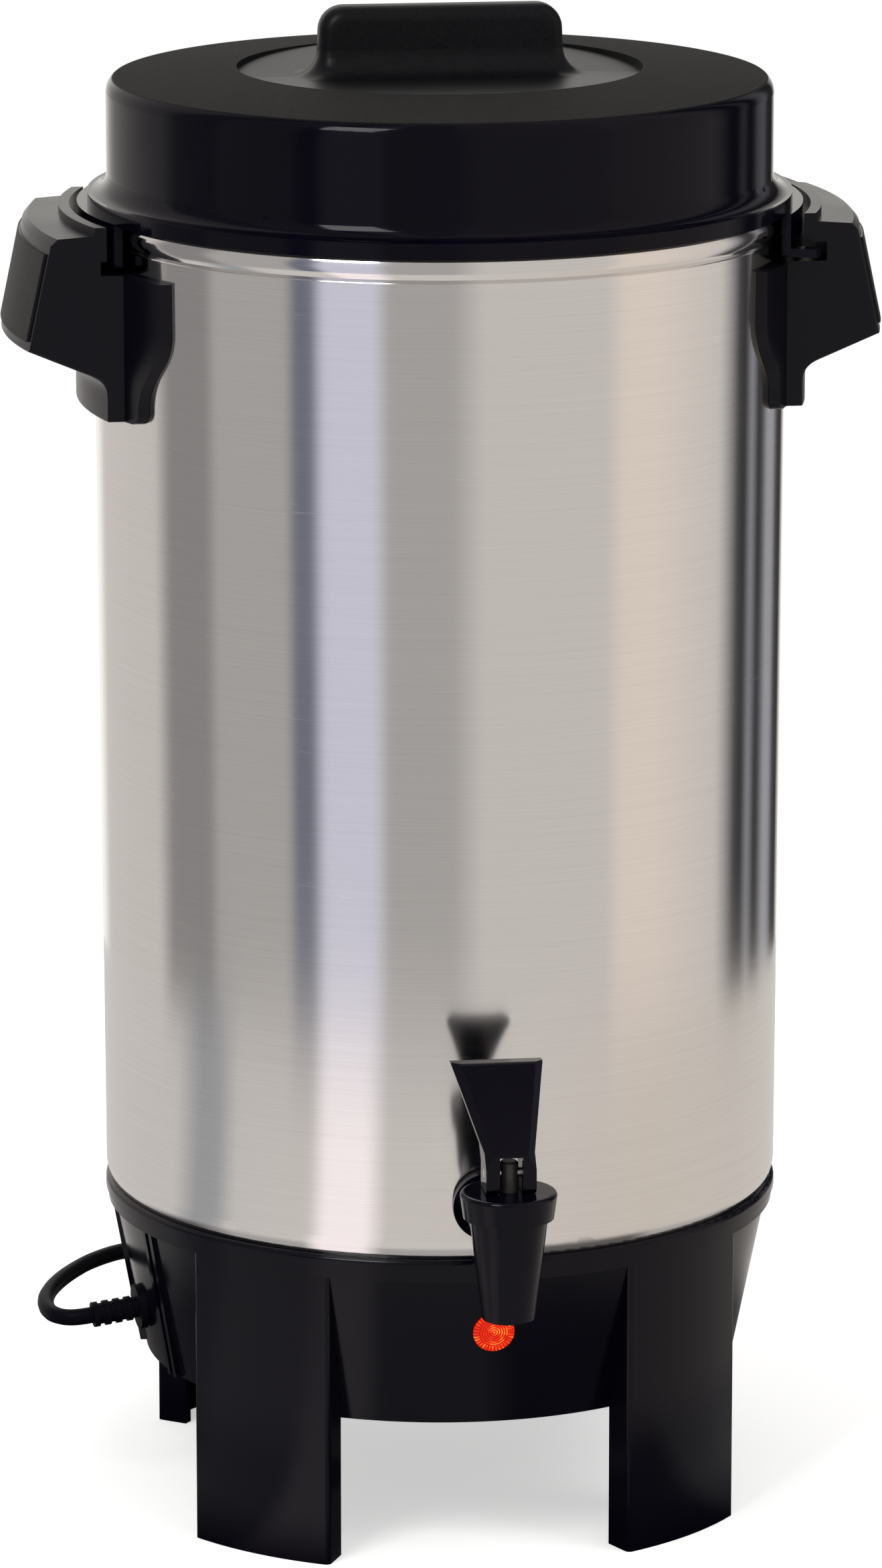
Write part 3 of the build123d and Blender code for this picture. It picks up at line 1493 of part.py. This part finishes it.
with BuildPart() as plug_blades:
    with BuildSketch(plug_plane.offset(plug_length)):
        with GridLocations(blade_spacing, blade_spacing, 1, 2):
            Rectangle(blade_width, blade_thickness)
    extrude(amount=blade_length)
    hole_plane = plug_plane.offset(plug_length + blade_length - blade_width / 2)
    with BuildSketch(hole_plane.rotated((0, 90, 0))):
        Circle(blade_hole_r)
    extrude(amount=plug_width, both=True, mode=Mode.SUBTRACT)
save("plug_blades", plug_blades)
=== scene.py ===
"""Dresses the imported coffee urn: finishes for every part, its cord, and a plain studio."""
from math import cos, pi, radians, sin, sqrt

import bpy
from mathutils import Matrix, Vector


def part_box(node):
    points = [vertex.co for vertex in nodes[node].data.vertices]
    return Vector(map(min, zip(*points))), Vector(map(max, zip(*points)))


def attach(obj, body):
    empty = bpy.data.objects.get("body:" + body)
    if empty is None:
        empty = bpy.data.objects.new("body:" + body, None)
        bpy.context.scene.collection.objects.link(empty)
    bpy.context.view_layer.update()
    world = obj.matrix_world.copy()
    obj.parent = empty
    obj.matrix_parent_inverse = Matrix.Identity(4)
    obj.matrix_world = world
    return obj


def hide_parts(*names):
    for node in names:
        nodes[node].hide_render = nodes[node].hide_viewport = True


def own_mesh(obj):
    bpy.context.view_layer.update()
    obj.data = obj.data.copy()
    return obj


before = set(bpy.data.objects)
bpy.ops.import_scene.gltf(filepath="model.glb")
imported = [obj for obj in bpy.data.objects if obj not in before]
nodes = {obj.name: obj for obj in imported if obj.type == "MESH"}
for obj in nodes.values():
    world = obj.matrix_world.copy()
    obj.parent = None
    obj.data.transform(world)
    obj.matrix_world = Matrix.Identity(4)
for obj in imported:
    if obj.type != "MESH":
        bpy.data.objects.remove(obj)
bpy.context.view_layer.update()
MM = 0.001


def add_object(name, data):
    thing = bpy.data.objects.new(name, data)
    bpy.context.scene.collection.objects.link(thing)
    return thing


# ------------------------------------------------------------------ camera
# Every turn in this script is in degrees round from the tap, towards +X.
CAMERA_PLACE = Vector((-268.2, -2037.5, 670.3)) * MM
CAMERA_TURN = -7.5
CAMERA_PITCH = 13.16        # degrees below level
CAMERA_LENS = 182.4         # millimetres, with a sensor of the width below
CAMERA_SENSOR = 36.0
IMAGE_SIZE = (1318, 2343)
OPTICAL_AXIS_X = 657.5      # where the photograph's axis lies, in its pixels


def make_camera():
    data = bpy.data.cameras.new("camera")
    data.lens = CAMERA_LENS
    data.sensor_width = CAMERA_SENSOR
    data.shift_x = (IMAGE_SIZE[0] / 2 - OPTICAL_AXIS_X) / max(IMAGE_SIZE)
    camera = add_object("camera", data)
    camera.location = CAMERA_PLACE
    camera.rotation_euler = (radians(90 - CAMERA_PITCH), 0, radians(CAMERA_TURN))
    bpy.context.scene.camera = camera


make_camera()


# ------------------------------------------------------------------ node helpers
NOISE_LOW, NOISE_HIGH = 0.3, 0.7        # most of a noise lies between these


def about(number, share):
    """The numbers a share below this one and above it."""
    return number * (1 - share), number * (1 + share)


class Nodes:
    """A node tree, with short ways to add what the finishes and the studio share."""

    def __init__(self, owner, place):
        owner.use_nodes = True
        self.tree = owner.node_tree
        self.tree.nodes.clear()
        self.place = self.add("ShaderNodeTexCoord").outputs[place]

    def add(self, kind, **settings):
        node = self.tree.nodes.new(kind)
        for name, value in settings.items():
            setattr(node, name, value)
        return node

    def link(self, start, end):
        self.tree.links.new(start, end)

    def put(self, value, socket):
        """Link a socket, or set a plain number or colour."""
        if isinstance(value, bpy.types.NodeSocket):
            self.link(value, socket)
        elif socket.type == "RGBA":
            socket.default_value = (*value, 1.0)
        else:
            socket.default_value = value

    def math(self, operation, *values):
        node = self.add("ShaderNodeMath", operation=operation)
        for value, socket in zip(values, node.inputs):
            self.put(value, socket)
        return node.outputs[0]

    def times(self, first, second):
        return self.math("MULTIPLY", first, second)

    def spread(self, value, low, high, new_low=0.0, new_high=1.0):
        """Map a range to another, eased at both ends."""
        node = self.add("ShaderNodeMapRange", interpolation_type="SMOOTHSTEP")
        self.put(value, node.inputs["Value"])
        limits = {"From Min": low, "From Max": high, "To Min": new_low, "To Max": new_high}
        for name, limit in limits.items():
            self.put(limit, node.inputs[name])
        return node.outputs["Result"]

    def above(self, value, edge, softness):
        """0 below an edge and 1 above it."""
        return self.spread(value, edge - softness, edge + softness)

    def colours(self, value, *stops):
        """A colour ramp from (position, colour) stops."""
        node = self.add("ShaderNodeValToRGB")
        ramp = node.color_ramp
        while len(ramp.elements) < len(stops):
            ramp.elements.new(1.0)
        for element, (position, colour) in zip(ramp.elements, stops):
            element.position = position
            element.color = (*colour, 1.0)
        self.put(value, node.inputs["Fac"])
        return node.outputs["Color"]

    def mix(self, share, first, second):
        node = self.add("ShaderNodeMix", data_type="FLOAT")
        self.put(share, node.inputs[0])
        self.put(first, node.inputs[2])
        self.put(second, node.inputs[3])
        return node.outputs[0]

    def mix_colour(self, share, first, second):
        node = self.add("ShaderNodeMix", data_type="RGBA")
        self.put(share, node.inputs[0])
        self.put(first, node.inputs[6])
        self.put(second, node.inputs[7])
        return node.outputs[2]

    def noise(self, scale=(1, 1, 1), size=1.0, detail=2.0, rough=0.5):
        """Noise with size cells to a metre, times the scale along each axis."""
        stretched = self.add("ShaderNodeMapping")
        self.link(self.place, stretched.inputs["Vector"])
        stretched.inputs["Scale"].default_value = scale
        node = self.add("ShaderNodeTexNoise")
        self.link(stretched.outputs["Vector"], node.inputs["Vector"])
        node.inputs["Scale"].default_value = size
        node.inputs["Detail"].default_value = detail
        node.inputs["Roughness"].default_value = rough
        return node.outputs["Fac"]

    def waver(self, noise, low, high):
        """A number that goes with a noise from low to high."""
        return self.spread(noise, NOISE_LOW, NOISE_HIGH, low, high)

    def mottle(self, noise, low, high):
        """A colour that goes with a noise from one to another."""
        return self.colours(noise, (NOISE_LOW, low), (NOISE_HIGH, high))

    def axes(self):
        node = self.add("ShaderNodeSeparateXYZ")
        self.link(self.place, node.inputs[0])
        return node.outputs

    def hypotenuse(self, first, second):
        return self.math("SQRT", self.math("ADD", self.times(first, first), self.times(second, second)))

    def radius(self):
        """Distance from the urn's axis."""
        across, back, _ = self.axes()
        return self.hypotenuse(across, back)

    def round_urn(self, tones):
        """Colours that change round the urn, from (turn, colour) stops."""
        across, back, _ = self.axes()
        angle = self.math("ARCTAN2", across, self.times(back, -1.0))
        share = self.math("MULTIPLY_ADD", angle, 1 / (2 * pi), 0.5)
        return self.colours(share, *((turn / 360 + 0.5, tone) for turn, tone in tones))


class Finish(Nodes):
    """A material's nodes, round one Principled shader."""

    def __init__(self, name):
        self.material = bpy.data.materials.new(name)
        super().__init__(self.material, place="Object")
        self.output = self.add("ShaderNodeOutputMaterial")
        self.surface = self.add("ShaderNodeBsdfPrincipled")
        self.link(self.surface.outputs[0], self.output.inputs["Surface"])

    def set(self, **values):
        for name, value in values.items():
            self.put(value, self.surface.inputs[name.replace("_", " ")])

    def bump(self, height, strength, depth):
        node = self.add("ShaderNodeBump")
        self.put(height, node.inputs["Height"])
        self.put(strength, node.inputs["Strength"])
        self.put(depth, node.inputs["Distance"])
        self.link(node.outputs["Normal"], self.surface.inputs["Normal"])


# ------------------------------------------------------------------ metals
def brushed_tank():
    """Aluminium brushed round the tank, so that what it mirrors is drawn out up and down."""
    metal = Finish("tank_brushed")
    fine = metal.noise(scale=(12, 12, 3200), detail=3.0, rough=0.65)
    broad = metal.noise(scale=(4, 4, 500), detail=2.0)
    clouds = metal.noise(size=14.0, detail=3.0)
    scratches = metal.noise(scale=(70, 70, 1900), detail=1.0, rough=0.4)
    broad_share = 0.15
    grain = metal.mix(broad_share, fine, broad)
    # Only the noise's highest crests are marks, which are paler and rougher
    marks = metal.spread(scratches, 0.74, 0.80)
    brushed = metal.mottle(grain, (0.755, 0.742, 0.725), (0.815, 0.803, 0.785))
    worn = metal.spread(clouds, 0.35, 0.7, 0.11, 0.14)
    mark_colour = (0.92, 0.92, 0.92)
    mark_share = 0.3
    mark_roughness = 0.08
    metal.set(
        Base_Color=metal.mix_colour(metal.times(marks, mark_share), brushed, mark_colour),
        Metallic=1.0,
        Roughness=metal.math("MULTIPLY_ADD", marks, mark_roughness, worn),
        Anisotropic=0.6,
        Anisotropic_Rotation=0.25,
    )
    tangent = metal.add("ShaderNodeTangent", direction_type="RADIAL", axis="Z")
    metal.link(tangent.outputs[0], metal.surface.inputs["Tangent"])
    metal.bump(grain, strength=0.009, depth=0.0002)
    return metal


def plain_metal(name, colour, roughness, darker=0.12):
    """Sheet or turned metal with clouds that are a share darker and a light uneven grain."""
    metal = Finish(name)
    cloud = metal.noise(size=60.0, detail=3.0)
    grain = metal.noise(scale=(200, 200, 900), detail=2.0)
    low = tuple(part * (1 - darker) for part in colour)
    metal.set(
        Base_Color=metal.mottle(cloud, low, colour),
        Metallic=1.0,
        Roughness=metal.waver(grain, *about(roughness, 0.08)),
    )
    metal.bump(grain, strength=0.012, depth=0.0001)
    return metal


# ------------------------------------------------------------------ plastics
INK = (0.0016, 0.0012, 0.0042)      # black with a breath of blue
# Places on the lid and the handles, in metres
LID_TOP = 0.3790            # where the lid's bevel ends
LID_HOLLOW_R = 0.0529
LID_EDGE_SOFTNESS = 0.0003
HANDLE_BACK = 0.029         # the tank's axis back to the one that a handle is curved round
GRIP_TOP = 0.3420
GRIP_TOP_R = 0.1090
GRIP_LEAN = 0.208           # outwards for each metre down
GRIP_FACE = 0.0004          # outside the grip's wall, where its raised face starts


def shades(colour):
    """A colour a little darker and a little lighter."""
    return [tuple(part * share for part in colour) for share in (0.8, 1.2)]


def plastic(name, roughness, colour=INK, gloss=0.15):
    """Moulded plastic whose gloss wavers a little, with dust too fine to see singly."""
    moulded = Finish(name)
    cloud = moulded.noise(size=25.0, detail=4.0, rough=0.6)
    dust = moulded.noise(size=900.0, detail=2.0)
    moulded.set(
        Base_Color=moulded.mottle(cloud, *shades(colour)),
        Roughness=moulded.waver(cloud, *about(roughness, 0.1)),
        Specular_IOR_Level=gloss,
    )
    moulded.bump(dust, strength=0.02, depth=0.0001)
    return moulded


def lid_black():
    """Gloss sides, a finely sanded top and a smoother satin hollow with its bar."""
    lid = Finish("lid_black")
    cloud = lid.noise(size=22.0, detail=4.0, rough=0.6)
    grain = lid.noise(size=1000.0, detail=3.0, rough=0.7)
    _, _, height = lid.axes()
    on_top = lid.above(height, LID_TOP, LID_EDGE_SOFTNESS)
    outside = lid.above(lid.radius(), LID_HOLLOW_R, LID_EDGE_SOFTNESS)
    sanded = lid.times(on_top, outside)
    satin = lid.times(on_top, lid.math("SUBTRACT", 1.0, outside))
    gloss_roughness = lid.waver(cloud, 0.07, 0.10)
    sanded_roughness = 0.72
    satin_roughness = 0.38
    gloss_colour = lid.mottle(cloud, *shades(INK))
    pit_colour, crest_colour = (0.001, 0.001, 0.0008), (0.011, 0.011, 0.0095)
    sanded_colour = lid.colours(grain, (0.25, pit_colour), (0.75, crest_colour))
    satin_dust = 0.5        # how much of the sanded colour the hollow has
    dusty = lid.math("MULTIPLY_ADD", satin, satin_dust, sanded)
    lid.set(
        Base_Color=lid.mix_colour(dusty, gloss_colour, sanded_colour),
        Roughness=lid.mix(satin, lid.mix(sanded, gloss_roughness, sanded_roughness), satin_roughness),
        Specular_IOR_Level=0.13,
    )
    lid.bump(lid.times(grain, sanded), strength=0.45, depth=0.0004)
    return lid


def handle_black():
    """Satin sides, and a grain like fine leather on the raised face of the grip."""
    handle = Finish("handle_black")
    cloud = handle.noise(size=22.0, detail=4.0, rough=0.6)
    grain = handle.noise(size=1100.0, detail=3.0, rough=0.65)
    dust = handle.noise(size=900.0, detail=2.0)
    across, back, height = handle.axes()
    # Distance outside the grip's wall, which leans out as it goes down
    wall_at_floor = HANDLE_BACK + GRIP_TOP_R + GRIP_TOP * GRIP_LEAN
    wall = handle.math("MULTIPLY_ADD", height, -GRIP_LEAN, wall_at_floor)
    reach = handle.math("ADD", handle.math("ABSOLUTE", across), HANDLE_BACK)
    proud = handle.math("SUBTRACT", handle.hypotenuse(reach, back), wall)
    face = handle.above(proud, GRIP_FACE, softness=0.0002)
    plain_colour = handle.mottle(cloud, *shades(INK))
    face_colour = handle.mottle(grain, (0.006, 0.006, 0.0055), (0.022, 0.022, 0.020))
    plain_roughness = handle.waver(cloud, 0.27, 0.33)
    face_roughness = 0.55
    dust_share = 0.1
    handle.set(
        Base_Color=handle.mix_colour(face, plain_colour, face_colour),
        Roughness=handle.mix(face, plain_roughness, face_roughness),
        Specular_IOR_Level=0.2,
    )
    handle.bump(handle.mix(face, handle.times(dust, dust_share), grain), strength=0.25, depth=0.0003)
    return handle


# ------------------------------------------------------------------ indicator light
# Its place and rings, in metres
LENS_TURN = 2.0
LENS_REACH = 0.0844
LENS_HEIGHT = 0.0636
LENS_RINGED_R = 0.0039      # where the rings end and the beads begin
LENS_RING_PITCH = 0.00065
LENS_BEADS = 34
SKIRT_LEAN = 11.36          # degrees


def lit_lens():
    """A ringed orange lens with a beaded rim, lit from behind."""
    lens = Finish("lens_glow")
    across, _, height = lens.axes()
    # Places on the lens's own face, measured from its middle
    side = lens.math("SUBTRACT", across, LENS_REACH * sin(radians(LENS_TURN)))
    rise = lens.times(lens.math("SUBTRACT", height, LENS_HEIGHT), 1 / cos(radians(SKIRT_LEAN)))
    reach = lens.hypotenuse(side, rise)
    rings = lens.math("SINE", lens.times(reach, 2 * pi / LENS_RING_PITCH))
    beads = lens.math("SINE", lens.times(lens.math("ARCTAN2", side, rise), LENS_BEADS))
    rim = lens.above(reach, LENS_RINGED_R, softness=0.0002)
    wave = lens.mix(rim, rings, beads)
    # Their crests glow most, and more so where a noise is high
    crests = lens.spread(wave, -0.4, 1.0, 0.0, 0.62)
    patches = lens.spread(lens.noise(size=520.0, detail=3.0), 0.38, 0.66, 0.0, 0.42)
    glow = lens.colours(
        lens.math("ADD", crests, patches),
        (0.0, (0.50, 0.006, 0.002)),
        (0.55, (0.86, 0.022, 0.005)),
        (0.80, (1.00, 0.13, 0.010)),
        (1.0, (1.00, 0.48, 0.05)),
    )
    lens.set(Base_Color=(0.20, 0.004, 0.001), Roughness=0.15, Specular_IOR_Level=0.15)
    lens.set(Emission_Color=glow, Emission_Strength=0.85)
    lens.bump(wave, strength=0.2, depth=0.0002)
    return lens


def lit_lamp():
    """A small glowing bulb behind the lens."""
    lamp = Finish("lamp_glow")
    glow = lamp.mottle(lamp.noise(size=300.0), (0.9, 0.15, 0.02), (1.0, 0.35, 0.05))
    lamp.set(Base_Color=(0.6, 0.1, 0.02), Roughness=0.2)
    lamp.set(Emission_Color=glow, Emission_Strength=1.5)
    return lamp


# ------------------------------------------------------------------ cord
# Its route is the one that the cord's solids follow, in millimetres
CORD_R = 2.2
COIL_R = 24.0
COIL_PLACE = (0.0, 127.0)
COIL_TURNS = 3
COIL_CROSSING = 0.25        # of a turn, in which the cord goes over to its next row
TURN_POINTS = 16
PLUG_HEIGHT = 13.0
RELIEF_LENGTH = 14.0
FIRST_RUN = 3.2
OUTLET = Vector((-81.24, -11.42, 52.0))
OUTLET_WAY = Vector((-0.9848, -0.1384, -0.1045))


def wire(name, kind, points, radius, roundness):
    """A round wire along points, as the data of a curve with one spline."""
    data = bpy.data.curves.new(name, "CURVE")
    data.dimensions = "3D"
    spline = data.splines.new(kind)
    spline.points.add(len(points) - 1)
    for point, place in zip(spline.points, points):
        point.co = (*place, 1.0)
    data.bevel_depth = radius
    data.bevel_resolution = roundness
    data.use_fill_caps = True
    return data


def cord_points():
    """From the outlet round the urn to the coil, its turns, and on into the plug."""
    start = OUTLET + OUTLET_WAY * RELIEF_LENGTH
    coil_front = COIL_PLACE[1] - COIL_R - CORD_R
    points = [
        start,
        start + OUTLET_WAY * FIRST_RUN,
        start + Vector((-6.8, 0.5, -0.7)),
        start + Vector((-9.5, 3.2, -0.8)),
        start + Vector((-11.0, 7.2, -0.9)),
        start + Vector((-11.5, 13.4, -1.0)),
        start + Vector((-10.8, 21.9, -1.2)),
        start + Vector((-7.9, 32.4, -1.3)),
        start + Vector((-2.7, 44.4, -1.5)),
        start + Vector((5.1, 58.4, -2.1)),
        start + Vector((16.6, 74.4, -4.1)),
        start + Vector((29.1, 87.9, -9.0)),
        (-54.0, coil_front - 15.3, 33.0),
        (-43.0, coil_front - 6.8, 22.5),
        (-32.5, coil_front - 1.3, 12.5),
        (-22.5, coil_front + 0.7, 5.5),
        (-11.5, coil_front + 0.1, 2.6),
    ]
    # Two turns on the floor, the outer first, then one on top, in the groove between them
    rise = sqrt(3) * CORD_R
    for step in range(COIL_TURNS * TURN_POINTS + 1):
        turns = step / TURN_POINTS
        inwards = max(0, min(1, (turns - 1) / COIL_CROSSING))
        upwards = max(0, min(1, (turns - 2) / COIL_CROSSING))
        reach = COIL_R + CORD_R - 2 * CORD_R * inwards + CORD_R * upwards
        angle = 2 * pi * turns
        points.append((
            COIL_PLACE[0] + reach * sin(angle),
            COIL_PLACE[1] - reach * cos(angle),
            CORD_R + rise * upwards,
        ))
    front = COIL_PLACE[1] - COIL_R
    points += [
        (11.0, front, CORD_R + rise),
        (22.0, front + 1.5, PLUG_HEIGHT / 2),
        (32.0, front + 3.5, PLUG_HEIGHT / 2),
    ]
    return [Vector(point) * MM for point in points]


def make_cord():
    points = cord_points()
    data = wire("cord", "NURBS", points, CORD_R * MM, roundness=5)
    spline = data.splines[0]
    spline.order_u = 3
    spline.use_endpoint_u = True
    data.resolution_u = 8
    data.materials.append(plastic("cord_black", roughness=0.45, gloss=0.05).material)
    cord = add_object("cord", data)
    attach(cord, "urn")
    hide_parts("power_cord", "cord_coil", "plug_lead")


make_cord()


# ------------------------------------------------------------------ finishes on the CAD's nodes
def dress(finish, *names):
    for name in names:
        slots = nodes[name].data.materials
        slots.clear()
        slots.append(finish.material)


bare_steel = plain_metal("zinc_steel", (0.62, 0.62, 0.61), roughness=0.34)
sheath = plain_metal("heater_sheath", (0.30, 0.28, 0.26), roughness=0.45, darker=0.3)
spun = plain_metal("spun_aluminium", (0.80, 0.80, 0.81), roughness=0.26)
drawn = plain_metal("drawn_aluminium", (0.82, 0.82, 0.83), roughness=0.22)
spreader = plain_metal("spreader_aluminium", (0.79, 0.79, 0.80), roughness=0.3)
brass = plain_metal("plug_brass", (0.80, 0.64, 0.36), roughness=0.25)
rubber = plastic("rubber_black", roughness=0.5, gloss=0.08)
stem_grey = plastic("stem_grey", roughness=0.3, colour=(0.036, 0.034, 0.030), gloss=0.4)
brown = plastic("control_brown", roughness=0.4, colour=(0.065, 0.05, 0.035), gloss=0.5)
ceramic = plastic("ceramic_white", roughness=0.4, colour=(0.6, 0.6, 0.58), gloss=0.5)

dress(brushed_tank(), "tank")
dress(plastic("base_black", roughness=0.15, gloss=0.18), "base")
dress(plastic("tap_black", roughness=0.12), "tap_body", "tap_bonnet", "tap_lever")
dress(lid_black(), "lid")
dress(handle_black(), "handle_left", "handle_right")
dress(lit_lens(), "indicator_lens")
dress(lit_lamp(), "indicator_lamp")
dress(bare_steel, "bottom_plate", "bottom_screws", "base_nuts", "heater_clamp", "clamp_nut")
dress(bare_steel, "handle_screws", "liner_stud", "lever_pin", "valve_spring")
dress(sheath, "heating_element")
dress(spun, "heat_spreader", "lid_liner", "basket")
dress(drawn, "pump_tube", "pump_bell", "basket_stop")
dress(spreader, "basket_cover")
dress(brass, "plug_blades")
dress(rubber, "strain_relief", "plug", "tap_washer", "tap_inner_washer", "tap_nut")
dress(stem_grey, "valve_stem")
dress(brown, "thermostat")
dress(ceramic, "thermal_cutoff", "lens_retainer", "seat_cup")


# ------------------------------------------------------------------ valve spring
# In millimetres
SPRING_R = 4.1
SPRING_WIRE_R = 0.5
SPRING_TURNS = 4.0
SPRING_CLOSED = 0.75        # of a turn at each end, which lies flat
SPRING_STEPS = 24           # to a turn
SPRING_GAP = 0.1            # between the coil and each end of the CAD's spring


def spring_points(middle, low, high):
    """A round coil from one height to another, whose end turns lie flat."""
    points = []
    for step in range(round(SPRING_TURNS * SPRING_STEPS) + 1):
        turns = step / SPRING_STEPS
        share = (turns - SPRING_CLOSED) / (SPRING_TURNS - 2 * SPRING_CLOSED)
        height = low + (high - low) * max(0, min(1, share))
        angle = 2 * pi * turns
        points.append((middle.x + SPRING_R * cos(angle), middle.y + SPRING_R * sin(angle), height))
    return [Vector(point) * MM for point in points]


def make_spring():
    """The coil between the valve's stem and its bonnet, as tall as the CAD's spring."""
    low, high = (Vector(corner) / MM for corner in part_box("valve_spring"))
    middle = (low + high) / 2
    inset = SPRING_WIRE_R + SPRING_GAP
    points = spring_points(middle, low.z + inset, high.z - inset)
    line = wire("spring_line", "POLY", points, SPRING_WIRE_R * MM, roundness=3)
    guide = bpy.data.objects.new("spring_line", line)
    mesh = bpy.data.meshes.new_from_object(guide)
    bpy.data.objects.remove(guide)
    mesh.shade_smooth()
    mesh.materials.append(bare_steel.material)
    spring = add_object("spring_coil", mesh)
    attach(spring, "urn")
    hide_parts("valve_spring")
    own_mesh(spring)


make_spring()


# ------------------------------------------------------------------ studio walls
WHITE = (1.0, 1.0, 1.0)
# What the walls give to surfaces that don't mirror them
WALL_LIGHT = (0.62, 0.62, 0.62)
# Tones that only mirrors show, the pale ones first
BRIGHT = (1.0, 0.97, 0.92)
WARM = (0.83, 0.73, 0.66)
WINDOW = (0.68, 0.68, 0.80)
PALE = (0.66, 0.62, 0.60)
SOFT = (0.45, 0.43, 0.42)
STEEL = (0.36, 0.36, 0.39)
HAZE = (0.30, 0.30, 0.33)
DIM = (0.28, 0.27, 0.27)
DARK = (0.17, 0.18, 0.23)
SHADE = (0.07, 0.065, 0.07)
GLOOM = (0.025, 0.025, 0.025)
# The turns between which each tone stands, blended into the next
WALLS = (
    (-180, BRIGHT), (-172, BRIGHT), (-160, PALE), (-118, PALE), (-110, DIM), (-92, DIM),
    (-87, SOFT), (-60, SOFT), (-56, DARK), (-51, DARK), (-46, WINDOW), (-29, WINDOW),
    (-24, SOFT), (-3, SOFT), (7, PALE), (50, PALE), (56, WARM), (70, WARM), (100, PALE),
    (107, DIM), (111, SHADE), (116, GLOOM), (121, HAZE), (126, GLOOM), (130, SHADE),
    (135, STEEL), (141, STEEL), (147, SHADE), (155, GLOOM), (165, BRIGHT), (180, BRIGHT),
)


def make_world():
    """White to the camera, walls of several tones to what mirrors them, soft light to the rest."""
    world = bpy.data.worlds.new("studio")
    bpy.context.scene.world = world
    studio = Nodes(world, place="Generated")
    path = studio.add("ShaderNodeLightPath").outputs
    unseen = studio.mix_colour(path["Is Glossy Ray"], WALL_LIGHT, studio.round_urn(WALLS))
    background = studio.add("ShaderNodeBackground")
    studio.link(studio.mix_colour(path["Is Camera Ray"], unseen, WHITE), background.inputs["Color"])
    output = studio.add("ShaderNodeOutputWorld")
    studio.link(background.outputs[0], output.inputs["Surface"])


make_world()


# ------------------------------------------------------------------ table
# In metres
TABLE_R = 0.60
TABLE_SIDES = 128
TABLE_SEEN = 0.5            # light of its own, which only the camera sees
# Painted reflections, tones that only mirrors show, with painted glare and painted shade among them:
# the base and legs mirror the table inside NEAR_R, the tank the rest of it outside FAR_R
NEAR_R, FAR_R = 0.16, 0.21
PAINTED_REFLECTION_GLOW = 1.2
# Painted shadow under the urn, which only mirrors see, as its own legs mirror it
UNDER_R, CLEAR_R = 0.08, 0.13
PAINTED_SHADE_GLOW = 0.1
# A painted window glare on the table, which only mirrors see
PAINTED_WINDOW_GLARE = (0.96, 0.88, 0.89)
FAR_LEFT = (0.55, 0.525, 0.51)
FAR_LOW = (0.32, 0.325, 0.34)
FAR_MIDDLE = (0.58, 0.545, 0.525)
FAR_RIGHT = (0.575, 0.52, 0.47)
NEAR_PALE = (0.37, 0.355, 0.35)
# Painted shade on the table near the urn, which only mirrors see
PAINTED_NEAR_SHADE = (0.10, 0.095, 0.095)
FAR_TABLE = (
    (-180, FAR_LEFT), (-101, FAR_LEFT), (-90, FAR_LOW), (-82, FAR_LOW), (-74, FAR_LEFT),
    (-48, FAR_MIDDLE), (-43, PAINTED_WINDOW_GLARE), (-30, PAINTED_WINDOW_GLARE), (-24, FAR_MIDDLE), (10, FAR_MIDDLE),
    (60, FAR_RIGHT), (180, FAR_LEFT),
)
NEAR_TABLE = (
    (-180, PAINTED_NEAR_SHADE), (-90, PAINTED_NEAR_SHADE), (-70, NEAR_PALE), (-48, NEAR_PALE), (-43, PAINTED_WINDOW_GLARE),
    (-30, PAINTED_WINDOW_GLARE), (-24, NEAR_PALE), (4, NEAR_PALE), (14, PAINTED_NEAR_SHADE), (52, PAINTED_NEAR_SHADE),
    (60, NEAR_PALE), (85, NEAR_PALE), (100, PAINTED_NEAR_SHADE), (180, PAINTED_NEAR_SHADE),
)


def table_paper_with_painted_reflections():
    """White to the camera; to what mirrors it, a glow of painted reflection tones that change round the
    urn, with painted shade under it.
    """
    paper = Finish("table_white_painted_reflections")
    path = paper.add("ShaderNodeLightPath").outputs
    paper.set(Base_Color=(0.82, 0.81, 0.80), Roughness=0.9, Specular_IOR_Level=0.1)
    paper.set(Emission_Color=WHITE, Emission_Strength=paper.times(path["Is Camera Ray"], TABLE_SEEN))
    reach = paper.radius()
    strength = paper.spread(reach, UNDER_R, CLEAR_R, PAINTED_SHADE_GLOW, PAINTED_REFLECTION_GLOW)
    outer = paper.spread(reach, NEAR_R, FAR_R)
    tones = paper.mix_colour(outer, paper.round_urn(NEAR_TABLE), paper.round_urn(FAR_TABLE))
    glow = paper.add("ShaderNodeEmission")
    paper.link(tones, glow.inputs["Color"])
    paper.link(strength, glow.inputs["Strength"])
    either = paper.add("ShaderNodeMixShader")
    paper.link(path["Is Glossy Ray"], either.inputs[0])
    paper.link(paper.surface.outputs[0], either.inputs[1])
    paper.link(glow.outputs[0], either.inputs[2])
    paper.link(either.outputs[0], paper.output.inputs["Surface"])
    return paper


def make_table():
    mesh = bpy.data.meshes.new("table")
    rim = [2 * pi * side / TABLE_SIDES for side in range(TABLE_SIDES)]
    corners = [(TABLE_R * cos(angle), TABLE_R * sin(angle), 0) for angle in rim]
    mesh.from_pydata(corners, [], [tuple(range(TABLE_SIDES))])
    mesh.materials.append(table_paper_with_painted_reflections().material)
    add_object("table", mesh)


make_table()


# ------------------------------------------------------------------ lights
def area_light(name, place, aim, size, power, mirrored=True):
    """A rectangle of light with a width and height in metres and a power in watts."""
    data = bpy.data.lights.new(name, "AREA")
    data.shape = "RECTANGLE"
    data.size, data.size_y = size
    data.energy = power
    lamp = add_object(name, data)
    lamp.location = place
    way = Vector(aim) - Vector(place)
    lamp.rotation_euler = way.to_track_quat("-Z", "Y").to_euler()
    lamp.visible_glossy = mirrored


area_light("window", place=(-1.1, -1.3, 1.7), aim=(0, 0, 0.25), size=(0.7, 1.0), power=20)
area_light("fill", place=(1.4, -1.1, 1.5), aim=(0, 0, 0.2), size=(0.9, 0.9), power=10, mirrored=False)
bpy.context.scene.view_settings.view_transform = "Standard"
